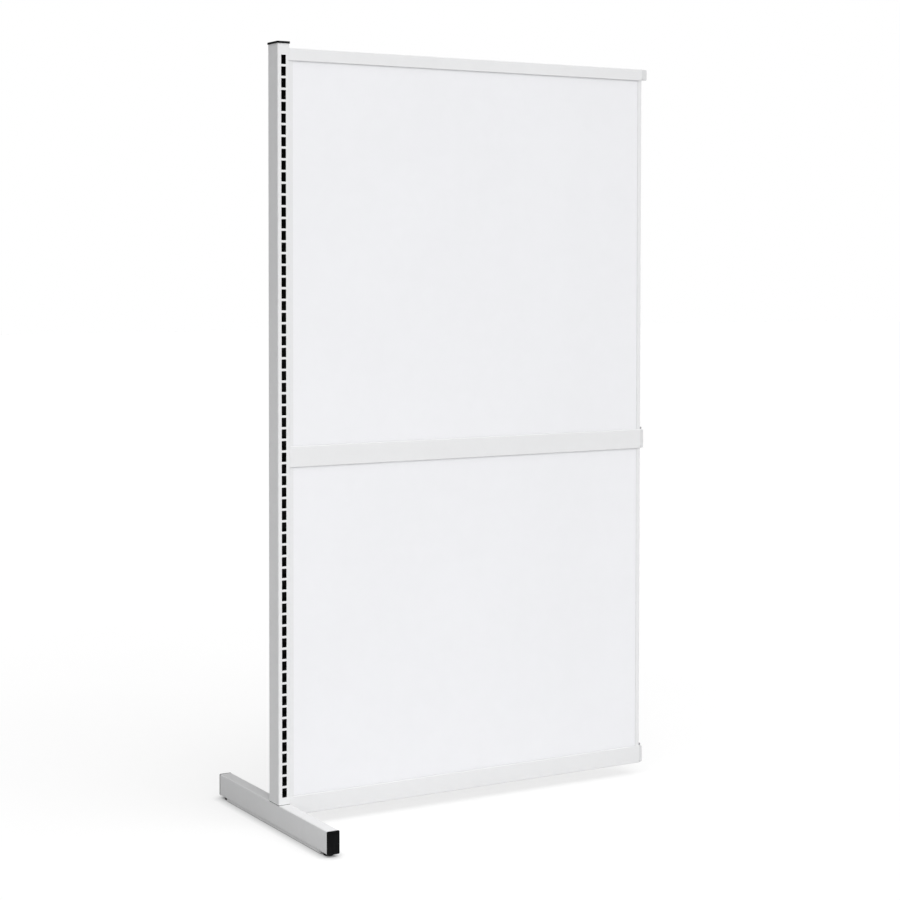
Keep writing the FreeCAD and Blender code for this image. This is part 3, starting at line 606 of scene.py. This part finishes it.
@dataclass(frozen=True)
class Plated(Finish):
    """Plated or rolled steel: a lengthwise brushed grain and a faint stain in the plating."""

    stain: Colour = (0.55, 0.52, 0.42)
    brush: tuple[float, float, float] = (60.0, 900.0, 900.0)

    def height(self, write: NodeWriter, place: Socket, effects: Effects) -> Socket:
        """Brush lines over the grain.

        Args:
            write: Writer of the material's tree.
            place: Object coordinates.
            effects: The shared groups.

        Returns:
            The height.
        """
        lines = write.noise(write.stretched(place, self.brush), 1.0, 4.0, 0.6)
        grain = super().height(write, place, effects)
        return write.math("ADD", lines, write.math("MULTIPLY", grain, 0.4))

    def tint(self, write: NodeWriter, place: Socket, colour: Socket) -> Socket:
        """Clouds of a second colour in the plating.

        Args:
            write: Writer of the material's tree.
            place: Object coordinates.
            colour: The colour so far.

        Returns:
            The colour with the stain.
        """
        clouds = write.noise(place, 85.0, 4.0, 0.6)
        return write.mix(write.between(clouds, 0.45, 0.8, 0.0, 0.5), colour, self.stain)


@dataclass(frozen=True)
class Honeycomb(Finish):
    """Paper honeycomb seen on its cut side: cells with painted shade in their mouths and fibrous walls."""

    cell: float = 0.012

    def tint(self, write: NodeWriter, place: Socket, colour: Socket) -> Socket:
        """Painted shade in the cell mouths.

        Args:
            write: Writer of the material's tree.
            place: Object coordinates.
            colour: The colour so far.

        Returns:
            The colour with the cells.
        """
        cells = write.add("TexVoronoi", {"feature": "DISTANCE_TO_EDGE"}, Vector=place, Scale=1.0 / self.cell)
        # Painted shade: the cells darken towards their middles, where shade would fall into the mouths.
        mouth_shade = write.between(cells.outputs["Distance"], 0.04, 0.12, 0.0, 0.7)
        return write.mix(mouth_shade, colour, (0.12, 0.08, 0.04))


FINISHES: dict[str, Finish] = {
    # The frame's powder coat paints near-black shade inside the post, on its slot walls and at its lower
    # joint.
    "frame_paint": TubePaint(
        "FramePowderCoat", (0.795, 0.798, 0.803), (0.75, 0.753, 0.758), tone=0.5, roughness=0.42, coat=0.08,
        pebbles=620.0, specks=2300.0, grain_depth=0.00007, grain_strength=0.32, edge_radius=0.0006,
        worn=(0.62, 0.62, 0.6), wear=0.55, marks=0.25, dust=0.12,
    ),
    "rail_paint": Finish(
        "RailPowderCoat", (0.80, 0.803, 0.81), (0.755, 0.758, 0.765), tone=0.5, roughness=0.4, coat=0.08,
        pebbles=680.0, specks=2500.0, grain_depth=0.00006, grain_strength=0.3, edge_radius=0.0006,
        worn=(0.64, 0.64, 0.62), wear=0.5, marks=0.3, dust=0.12,
    ),
    # The brackets get the same painted shade where they reach into the post.
    "bracket_paint": TubePaint(
        "BracketPowderCoat", (0.74, 0.743, 0.75), (0.65, 0.653, 0.66), tone=0.6, roughness=0.44, coat=0.08,
        pebbles=640.0, specks=2400.0, grain_depth=0.00008, grain_strength=0.35, edge_radius=0.0004,
        worn=(0.42, 0.42, 0.41), wear=0.9, marks=0.6, dust=0.1,
    ),
    "panel_board": PaintedBoard(
        "BoardPaint", (0.855, 0.858, 0.88), (0.82, 0.823, 0.842), tone=0.45, roughness=0.58,
        rough_spread=0.12, pebbles=380.0, specks=1500.0, grain_depth=0.00009, grain_strength=0.28,
        edge_radius=0.0004, worn=(0.7, 0.69, 0.67), wear=0.4, marks=0.22, dust=0.1,
    ),
    "panel_core": Honeycomb(
        "PaperCore", (0.46, 0.34, 0.2), (0.34, 0.24, 0.13), tone=0.8, roughness=0.85, sheen=0.1,
        pebbles=500.0, specks=3000.0, grain_depth=0.0002, grain_strength=0.6,
        worn=(0.55, 0.45, 0.32), wear=0.6, marks=0.1, dust=0.3,
    ),
    "white_edging": Finish(
        "WhiteEdging", (0.80, 0.803, 0.812), (0.75, 0.753, 0.762), tone=0.5, roughness=0.5, coat=0.05,
        pebbles=1400.0, specks=3800.0, grain_depth=0.00004, grain_strength=0.3, edge_radius=0.0003,
        worn=(0.66, 0.65, 0.63), wear=0.6, marks=0.3, dust=0.15,
    ),
    "grey_plastic": Finish(
        "GreyPlastic", (0.36, 0.36, 0.37), (0.28, 0.28, 0.29), tone=0.6, roughness=0.5,
        pebbles=1900.0, specks=4200.0, grain_depth=0.00005, grain_strength=0.4, edge_radius=0.0003,
        worn=(0.5, 0.5, 0.5), wear=0.7, marks=0.3, dust=0.3,
    ),
    "black_plastic": Finish(
        "BlackPlastic", (0.003, 0.003, 0.0033), (0.008, 0.008, 0.0085), tone=0.6, roughness=0.4,
        specular=0.08, pebbles=1700.0, specks=4200.0, grain_depth=0.00004, grain_strength=0.35,
        edge_radius=0.0004, worn=(0.014, 0.014, 0.014), wear=0.6, marks=0.3, dust=0.015,
    ),
    "black_rubber": Finish(
        "BlackRubber", (0.018, 0.018, 0.018), (0.035, 0.034, 0.033), tone=0.7, roughness=0.78, sheen=0.15,
        pebbles=900.0, specks=3300.0, grain_depth=0.0001, grain_strength=0.5,
        worn=(0.09, 0.09, 0.085), wear=0.6, marks=0.2, dust=0.35,
    ),
    "zinc_steel": Plated(
        "ZincPlate", (0.62, 0.63, 0.65), (0.5, 0.51, 0.53), tone=0.6, roughness=0.32, rough_spread=0.16,
        metallic=1.0, pebbles=1500.0, specks=4000.0, grain_depth=0.00003, grain_strength=0.3,
        worn=(0.72, 0.72, 0.72), wear=0.6, marks=0.4, dust=0.15,
    ),
    "rivet_steel": Plated(
        "RivetSteel", (0.66, 0.66, 0.67), (0.55, 0.55, 0.56), tone=0.5, roughness=0.28, rough_spread=0.14,
        metallic=1.0, grain_depth=0.00003, grain_strength=0.25, worn=(0.75, 0.75, 0.75), wear=0.5,
        marks=0.4, dust=0.12, brush=(700.0, 700.0, 700.0),
    ),
    "black_steel": Plated(
        "BlackenedSteel", (0.045, 0.045, 0.05), (0.025, 0.025, 0.028), tone=0.6, roughness=0.42,
        metallic=0.9, grain_depth=0.00004, grain_strength=0.3, worn=(0.28, 0.28, 0.28), wear=0.8,
        marks=0.4, dust=0.1, stain=(0.07, 0.055, 0.04), brush=(500.0, 500.0, 200.0),
    ),
    "plain_steel": Plated(
        "MilledSteel", (0.4, 0.4, 0.41), (0.3, 0.3, 0.31), tone=0.6, roughness=0.36, metallic=1.0,
        grain_depth=0.00004, grain_strength=0.35, worn=(0.6, 0.6, 0.6), wear=0.6, marks=0.5, dust=0.1,
        stain=(0.34, 0.28, 0.2), brush=(900.0, 120.0, 900.0),
    ),
}


class Paintshop:
    """Makes each finish once and puts it on CAD nodes and new pieces."""

    def __init__(self) -> None:
        """Makes the shared groups and starts with no materials."""
        self.effects = Effects()
        self.made: dict[str, bpy.types.Material] = {}
        self.slot_of = {sub["node"]: sub["material_slot"] for sub in frame["record"]["subparts"]}

    def material(self, slot: str) -> bpy.types.Material:
        """The material of a slot.

        Args:
            slot: The record's material slot.

        Returns:
            Its material, made on first use.
        """
        if slot not in self.made:
            self.made[slot] = FINISHES[slot].material(self.effects)
        return self.made[slot]

    def dress_nodes(self, *names: str) -> None:
        """Puts the finishes of their slots on CAD nodes.

        Args:
            *names: The nodes.
        """
        for name in names:
            node = frame["nodes"][name]
            material = self.material(self.slot_of[name])
            for slot in node.material_slots:
                slot.link = "OBJECT"
                slot.material = material

    def dress_piece(self, piece: bpy.types.Object, stands_for: str, body: str) -> None:
        """Gives a new piece the finish, the body and the place of the node it stands for.

        Args:
            piece: The new piece.
            stands_for: The CAD node that it replaces.
            body: The body it rides on.
        """
        slot = self.slot_of[stands_for]
        piece.data.materials.append(self.material(slot))
        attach(piece, body)
        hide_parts(stands_for)


# ------------------------------------------------------------------ new pieces


class Workpiece:
    """A mesh under construction, closed off into an object at the origin."""

    def __init__(self, name: str) -> None:
        """Starts an empty mesh.

        Args:
            name: The finished object's name.
        """
        self.name = name
        self.mesh = bmesh.new()

    def finish(self, place: Matrix, smooth_angle: float = 35.0) -> bpy.types.Object:
        """Moves the mesh to its place and turns it into an object.

        Args:
            place: Where the piece goes, from its own frame to the row's.
            smooth_angle: Edges sharper than this, in degrees, stay sharp.

        Returns:
            The object, unturned and at the origin.
        """
        mesh = self.mesh
        bmesh.ops.transform(mesh, matrix=place, verts=mesh.verts)
        bmesh.ops.recalc_face_normals(mesh, faces=mesh.faces)
        for face in mesh.faces:
            face.smooth = True
        for edge in mesh.edges:
            edge.smooth = len(edge.link_faces) == 2 and edge.calc_face_angle(0.0) < math.radians(smooth_angle)
        data = bpy.data.meshes.new(self.name)
        mesh.to_mesh(data)
        mesh.free()
        piece = bpy.data.objects.new(self.name, data)
        bpy.context.scene.collection.objects.link(piece)
        return piece


@dataclass(frozen=True)
class MouldedCap:
    """A tube's end cap: rounded flange with a sunk face, and a plug. Metres."""

    node: str
    outward: Vector
    flange: float
    corner: float = 2.5 * MM
    round_over: float = 0.9 * MM
    rim: float = 3.0 * MM
    sink: float = 0.6 * MM
    plug_margin: float = 3.2 * MM

    def build(self) -> bpy.types.Object:
        """Builds the cap over its node's box.

        Returns:
            The cap.
        """
        low, high = (Vector(corner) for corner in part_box(self.node))
        turn = Vector((0.0, 0.0, 1.0)).rotation_difference(self.outward).to_matrix()
        size = turn.inverted() @ (high - low)
        size = Vector(abs(value) for value in size)
        work = Workpiece(f"{self.node}_moulding")
        mesh = work.mesh
        bmesh.ops.create_cube(mesh, size=1.0, matrix=Matrix.Diagonal((size.x, size.y, self.flange, 1.0)))
        bmesh.ops.translate(mesh, vec=(0, 0, (size.z - self.flange) / 2), verts=mesh.verts)
        self._round(mesh, [e for e in mesh.edges if self._upright(e)], self.corner, 6)
        top = max(vertex.co.z for vertex in mesh.verts)
        rim = [e for e in mesh.edges if all(v.co.z > top - 1e-6 for v in e.verts)]
        self._round(mesh, rim, self.round_over, 4)
        face = max(mesh.faces, key=lambda f: (round(f.calc_center_median().z, 6), f.calc_area()))
        self._step(mesh, face, self.rim - self.round_over, 0.0)
        self._step(mesh, face, 0.35 * MM, -self.sink)
        below = min(mesh.faces, key=lambda f: (round(f.calc_center_median().z, 6), -f.calc_area()))
        self._step(mesh, below, self.plug_margin, 0.0)
        self._step(mesh, below, 0.0, self.flange - size.z)
        place = Matrix.Translation((low + high) / 2) @ turn.to_4x4()
        return work.finish(place)

    @staticmethod
    def _step(mesh: bmesh.types.BMesh, face: bmesh.types.BMFace, margin: float, rise: float) -> None:
        """Steps a face in from its outline, keeping its rounded corners, and along the axis.

        Args:
            mesh: The mesh.
            face: The face, square to the axis and centred on it.
            margin: How far the outline moves in.
            rise: How far the face moves along the axis.
        """
        bmesh.ops.inset_region(mesh, faces=[face], thickness=0.001 * MM, use_even_offset=True)
        reach = Vector((max(v.co.x for v in face.verts), max(v.co.y for v in face.verts)))
        scale = ((reach.x - margin) / reach.x, (reach.y - margin) / reach.y, 1.0)
        bmesh.ops.scale(mesh, vec=scale, verts=face.verts)
        bmesh.ops.translate(mesh, vec=(0, 0, rise), verts=face.verts)

    @staticmethod
    def _upright(edge: bmesh.types.BMEdge) -> bool:
        """Whether an edge runs along the cap's axis.

        Args:
            edge: The edge.

        Returns:
            True if it does.
        """
        run = edge.verts[1].co - edge.verts[0].co
        return abs(run.z) > 0.99 * run.length

    @staticmethod
    def _round(mesh: bmesh.types.BMesh, edges: list, radius: float, segments: int) -> None:
        """Rounds edges.

        Args:
            mesh: The mesh.
            edges: The edges.
            radius: Their radius.
            segments: Steps in the round.
        """
        bmesh.ops.bevel(
            mesh, geom=edges, offset=radius, offset_type="OFFSET", segments=segments,
            profile=0.5, affect="EDGES", material=-1, clamp_overlap=True,
        )


@dataclass(frozen=True)
class LevellingPad:
    """A turned levelling pad: dished top, socket for the spindle, grip rings below. Metres."""

    node: str
    socket_radius: float = 4.05 * MM
    socket_depth: float = 2.0 * MM
    running: float = 0.05 * MM
    edge: float = 0.8 * MM
    dish: float = 0.25 * MM
    rings: int = 3
    ring_depth: float = 0.35 * MM
    steps: int = 72

    def build(self) -> bpy.types.Object:
        """Spins the pad's outline about its axis.

        Returns:
            The pad.
        """
        low, high = (Vector(corner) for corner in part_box(self.node))
        radius = (high.x - low.x) / 2
        height = high.z - low.z
        floor = height - self.socket_depth - self.running
        rim = height - self.running
        outline = [(0.0, floor), (self.socket_radius, floor)]
        outline += [(self.socket_radius, rim), (self.socket_radius + 1.2 * MM, rim)]
        outline += [(radius * 0.62, height - self.dish), (radius - self.edge, height - self.dish)]
        for index in range(1, 5):
            angle = math.radians(90 - 22.5 * index)
            outline.append(
                (radius - self.edge + self.edge * math.cos(angle),
                 height - self.dish - self.edge + self.edge * math.sin(angle))
            )
        outline += [(radius, self.edge / 2), (radius - self.edge / 2, 0.0)]
        width = (radius - self.edge) / (2 * self.rings + 1)
        reach = radius - self.edge / 2
        for _ in range(self.rings):
            reach -= width
            outline += [(reach, 0.0), (reach - width * 0.2, self.ring_depth)]
            outline += [(reach - width * 0.6, self.ring_depth), (reach - width * 0.8, 0.0)]
            reach -= width
        outline.append((0.0, 0.0))
        work = Workpiece(f"{self.node}_turning")
        mesh = work.mesh
        points = [bmesh.ops.create_vert(mesh, co=(x, 0.0, z))["vert"][0] for x, z in outline]
        edges = [mesh.edges.new(pair) for pair in zip(points, points[1:])]
        bmesh.ops.spin(
            mesh, geom=points + edges, cent=(0, 0, 0), axis=(0, 0, 1), angle=math.tau,
            steps=self.steps, use_merge=True,
        )
        bmesh.ops.remove_doubles(mesh, verts=mesh.verts, dist=0.01 * MM)
        place = Matrix.Translation(((low.x + high.x) / 2, (low.y + high.y) / 2, low.z))
        return work.finish(place, 30.0)


@dataclass(frozen=True)
class ThreadedSpindle:
    """A levelling spindle: a plain foot, a hexagon collar and a cut thread. Metres."""

    node: str
    collar_from: float = 3.2 * MM
    collar_height: float = 2.3 * MM
    across_corners: float = 15.0 * MM
    major: float = 3.97 * MM
    minor: float = 3.32 * MM
    pitch: float = 1.25 * MM
    crest: float = 0.08 * MM  # half the flat on the thread's crest
    lap: float = 0.1 * MM  # how far collar, foot and core run into each other
    steps: int = 36

    def build(self) -> bpy.types.Object:
        """Builds foot, collar, core and thread as one piece.

        Returns:
            The spindle.
        """
        low, high = (Vector(corner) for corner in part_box(self.node))
        bottom = low.z
        top = high.z
        work = Workpiece(f"{self.node}_turning")
        mesh = work.mesh
        neck = self.collar_from + self.collar_height
        self._rod(mesh, 6, self.across_corners / 2, self.collar_from, neck, 0.35 * MM)
        self._rod(mesh, 48, self.major, bottom, self.collar_from + self.lap, 0.4 * MM)
        self._rod(mesh, 48, self.minor + 0.02 * MM, neck - self.lap, top, 0.6 * MM)
        self._thread(mesh, neck + 0.3 * MM, top - 0.9 * MM)
        middle = (low + high) / 2
        return work.finish(Matrix.Translation((middle.x, middle.y, 0.0)), 28.0)

    @staticmethod
    def _rod(
        mesh: bmesh.types.BMesh, sides: int, radius: float, low: float, high: float, chamfer: float
    ) -> None:
        """Adds an upright prism with chamfered ends.

        Args:
            mesh: The mesh.
            sides: Sides of the prism.
            radius: To its corners.
            low: Its lower end.
            high: Its upper end.
            chamfer: Width of the chamfer.
        """
        made = bmesh.ops.create_cone(
            mesh, cap_ends=True, segments=sides, radius1=radius, radius2=radius, depth=high - low,
            matrix=Matrix.Translation((0, 0, (low + high) / 2)),
        )["verts"]
        ends = {e for v in made for e in v.link_edges if abs(e.verts[0].co.z - e.verts[1].co.z) < 1e-7}
        bmesh.ops.bevel(
            mesh, geom=list(ends), offset=chamfer, offset_type="OFFSET", segments=1,
            profile=0.5, affect="EDGES", material=-1, clamp_overlap=True,
        )

    def _thread(self, mesh: bmesh.types.BMesh, low: float, high: float) -> None:
        """Winds a thread's ridge round the core.

        Args:
            mesh: The mesh.
            low: Where the thread starts.
            high: Where it ends.
        """
        turns = int((high - low) / self.pitch) - 1
        inside = self.minor - 0.15 * MM
        half = self.pitch / 2
        crest = ((self.major, half - self.crest), (self.major, half + self.crest))
        ridge = [(inside, 0.0), *crest, (inside, self.pitch)]
        points = [bmesh.ops.create_vert(mesh, co=(x, 0.0, low + z))["vert"][0] for x, z in ridge]
        edges = [mesh.edges.new((points[i], points[(i + 1) % 4])) for i in range(4)]
        start = bmesh.ops.contextual_create(mesh, geom=edges)["faces"]
        grown = bmesh.ops.spin(
            mesh, geom=start + edges + points, cent=(0, 0, 0), axis=(0, 0, 1), angle=math.tau * turns,
            steps=self.steps * turns, dvec=(0, 0, self.pitch / self.steps), use_merge=False,
        )
        LOG.debug("thread of %s ends on %d pieces", self.node, len(grown["geom_last"]))


# ------------------------------------------------------------------ sub-assemblies


@dataclass(frozen=True)
class Post:
    """The slotted post with its cap, base plug and bolts."""

    flange: float = 4.5 * MM

    def dress(self, shop: Paintshop) -> None:
        """Paints the post and builds its cap.

        Args:
            shop: Source of the finishes.
        """
        shop.dress_nodes("post", "post_base_plug", "post_bolts", "post_bolt_washers")
        cap = MouldedCap("post_cap", Vector((0, 0, 1)), self.flange, rim=4.0 * MM, plug_margin=4.7 * MM)
        shop.dress_piece(cap.build(), "post_cap", "frame")


@dataclass(frozen=True)
class Foot:
    """The foot tube, its bar and its two end caps."""

    flange: float = 3.0 * MM

    def dress(self, shop: Paintshop) -> None:
        """Paints the foot and builds its caps.

        Args:
            shop: Source of the finishes.
        """
        shop.dress_nodes("foot_tube", "foot_bar")
        for side, outward in ((Side.FRONT, Vector((0, -1, 0))), (Side.REAR, Vector((0, 1, 0)))):
            node = f"{side.value}_foot_cap"
            cap = MouldedCap(node, outward, self.flange)
            shop.dress_piece(cap.build(), node, "frame")


@dataclass(frozen=True)
class Leveller:
    """One levelling foot: its pad, its spindle and the bush that the spindle screws in."""

    side: Side

    def dress(self, shop: Paintshop) -> None:
        """Builds pad and spindle and paints the bush.

        Args:
            shop: Source of the finishes.
        """
        name = self.side.value
        shop.dress_nodes(f"{name}_leveller_bush")
        pad = f"{name}_leveller_pad"
        shop.dress_piece(LevellingPad(pad).build(), pad, f"{name}_pad")
        spindle = f"{name}_leveller_spindle"
        shop.dress_piece(ThreadedSpindle(spindle).build(), spindle, f"{name}_spindle")


@dataclass(frozen=True)
class Rail:
    """One rail with its hook brackets and rivets."""

    level: Level

    def dress(self, shop: Paintshop) -> None:
        """Paints the rail and what is riveted to it.

        Args:
            shop: Source of the finishes.
        """
        name = self.level.value
        shop.dress_nodes(f"{name}_rail", f"{name}_rail_rivets")
        shop.dress_nodes(f"{name}_left_hook_bracket", f"{name}_right_hook_bracket")


@dataclass(frozen=True)
class Panel:
    """One sandwich panel with its edging, blocks and corner stops."""

    name: str

    def dress(self, shop: Paintshop) -> None:
        """Paints the panel's layers and fittings.

        Args:
            shop: Source of the finishes.
        """
        for layer in ("front_skin", "core", "rear_skin"):
            shop.dress_nodes(f"{self.name}_panel_{layer}")
        shop.dress_nodes(f"{self.name}_left_edge_trim", f"{self.name}_right_edge_trim")
        shop.dress_nodes(f"{self.name}_setting_blocks", f"{self.name}_corner_stops")


# ------------------------------------------------------------------ studio


@dataclass(frozen=True)
class Studio:
    """Pale floor, soft light and the camera. Metres and degrees."""

    eye: tuple[float, float, float] = (-1.8455, -3.8777, 1.2186)
    yaw: float = 30.36
    pitch: float = 1.79
    roll: float = 0.065
    lens: float = 80.17
    sensor: float = 36.0
    shift: float = -0.1363
    floor_size: float = 60.0
    floor_colour: Colour = (0.62, 0.62, 0.62)
    floor_cloud: float = 0.985
    floor_lift: float = 1.7
    floor_fill: float = 0.65
    # How far the painted contact shadow on the floor reaches.
    contact_shadow_reach: float = 0.026
    key_strength: float = 0.35
    key_spread: float = 60.0
    key_from: tuple[float, float, float] = (0.12, -0.6, 0.79)
    fill_power: float = 7.0
    fill_size: float = 1.6
    fill_from: tuple[float, float, float] = (-1.9, -2.6, 0.55)
    dome: float = 0.2
    glow: float = 1.55
    glow_power: float = 1.6

    def build(self) -> None:
        """Sets the stage."""
        self._floor()
        self._world()
        self._key()
        self._fill()
        self._camera()
        settings = bpy.context.scene.view_settings
        settings.view_transform = "Standard"
        settings.look = "None"

    def _floor(self) -> None:
        """A wide pale floor, faintly uneven; the camera sees it lifted and glowing, with a painted contact
        shadow from ambient occlusion where things stand on it.
        """
        work = Workpiece("floor")
        bmesh.ops.create_grid(work.mesh, x_segments=1, y_segments=1, size=self.floor_size / 2)
        floor = work.finish(Matrix.Identity(4))
        material = bpy.data.materials.new("StudioFloor")
        material.use_nodes = True
        tree = material.node_tree
        tree.nodes.clear()
        write = NodeWriter(tree)
        place = write.add("TexCoord").outputs["Object"]
        cloud = write.between(write.noise(place, 2.0, 3.0), 0.3, 0.7, 0.0, 1.0)
        darker = tuple(value * self.floor_cloud for value in self.floor_colour)
        colour = write.mix(cloud, self.floor_colour, darker)
        shader = write.add("BsdfDiffuse", None, Color=colour)
        lifted = write.add("VectorMath", {"operation": "SCALE"})
        write.feed(lifted.inputs[0], colour)
        lifted.inputs["Scale"].default_value = self.floor_lift
        lit = write.add("BsdfDiffuse", None, Color=lifted.outputs[0])
        # Painted contact shadow: ambient occlusion darkens the floor's glow near the foot and the rails.
        contact_shadow = write.add("AmbientOcclusion", None, Distance=self.contact_shadow_reach)
        shadowed_glow = write.add("Emission", None, Color=(1.0, 1.0, 1.0), Strength=contact_shadow.outputs["AO"])
        seen = write.add("MixShader", None, Fac=self.floor_fill)
        write.feed(seen.inputs[1], lit.outputs[0])
        write.feed(seen.inputs[2], shadowed_glow.outputs[0])
        mix = write.add("MixShader", None, Fac=write.add("LightPath").outputs["Is Camera Ray"])
        write.feed(mix.inputs[1], shader.outputs[0])
        write.feed(mix.inputs[2], seen.outputs[0])
        write.add("OutputMaterial", None, Surface=mix.outputs[0])
        floor.data.materials.append(material)

    def _world(self) -> None:
        """A soft dome, brightest high in front, that the camera sees as white."""
        world = bpy.data.worlds.new("Studio")
        bpy.context.scene.world = world
        world.use_nodes = True
        tree = world.node_tree
        tree.nodes.clear()
        write = NodeWriter(tree)
        seen = write.add("Background", None, Color=(1.0, 1.0, 1.0), Strength=1.0)
        towards = write.add("VectorMath", {"operation": "DOT_PRODUCT"})
        write.feed(towards.inputs[0], write.add("TexCoord").outputs["Generated"])
        towards.inputs[1].default_value = Vector(self.key_from).normalized()
        lobe = write.math("POWER", write.math("MAXIMUM", towards.outputs["Value"], 0.0), self.glow_power)
        strength = write.math("ADD", write.math("MULTIPLY", lobe, self.glow), self.dome)
        light = write.add("Background", None, Color=(1.0, 1.0, 1.0), Strength=strength)
        ray = write.add("LightPath")
        mix = write.add("MixShader", None, Fac=ray.outputs["Is Camera Ray"])
        write.feed(mix.inputs[1], light.outputs[0])
        write.feed(mix.inputs[2], seen.outputs[0])
        write.add("OutputWorld", None, Surface=mix.outputs[0])

    def _key(self) -> None:
        """One wide and weak sun, high in front."""
        lamp = bpy.data.lights.new("Key", "SUN")
        lamp.energy = self.key_strength
        lamp.angle = math.radians(self.key_spread)
        key = bpy.data.objects.new("Key", lamp)
        key.rotation_euler = Vector(self.key_from).to_track_quat("Z", "Y").to_euler()
        bpy.context.scene.collection.objects.link(key)

    def _fill(self) -> None:
        """A low soft panel of light, in front and to the post's side."""
        lamp = bpy.data.lights.new("Fill", "AREA")
        lamp.energy = self.fill_power
        lamp.size = self.fill_size
        fill = bpy.data.objects.new("Fill", lamp)
        fill.location = self.fill_from
        fill.rotation_euler = Vector(self.fill_from).to_track_quat("Z", "Y").to_euler()
        bpy.context.scene.collection.objects.link(fill)

    def _camera(self) -> None:
        """The camera, placed from the post's near left corner."""
        low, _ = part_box("post")
        corner = Vector((low[0], low[1], 0.0))
        yaw = math.radians(self.yaw)
        pitch = math.radians(self.pitch)
        level = math.cos(pitch)
        ahead = Vector((math.sin(yaw) * level, math.cos(yaw) * level, -math.sin(pitch)))
        right = Vector((math.cos(yaw), -math.sin(yaw), 0.0))
        up = right.cross(ahead)
        turned = Matrix.Rotation(-math.radians(self.roll), 3, ahead)
        right = turned @ right
        up = turned @ up
        data = bpy.data.cameras.new("Camera")
        data.lens = self.lens
        data.sensor_width = self.sensor
        data.shift_y = self.shift
        data.clip_end = 200.0
        camera = bpy.data.objects.new("Camera", data)
        axes = Matrix((right, up, -ahead)).transposed().to_4x4()
        camera.matrix_world = Matrix.Translation(corner + Vector(self.eye)) @ axes
        bpy.context.scene.collection.objects.link(camera)
        bpy.context.scene.camera = camera


def main() -> None:
    """Dresses every sub-assembly and sets the stage."""
    logging.basicConfig(level=logging.INFO, format="%(name)s: %(message)s")
    shop = Paintshop()
    parts = [Post(), Foot(), *(Leveller(side) for side in Side), *(Rail(level) for level in Level)]
    parts += [Panel("upper"), Panel("lower")]
    for part in parts:
        part.dress(shop)
        LOG.info("dressed %s", part)
    Studio().build()


if __name__ == "__main__":
    main()
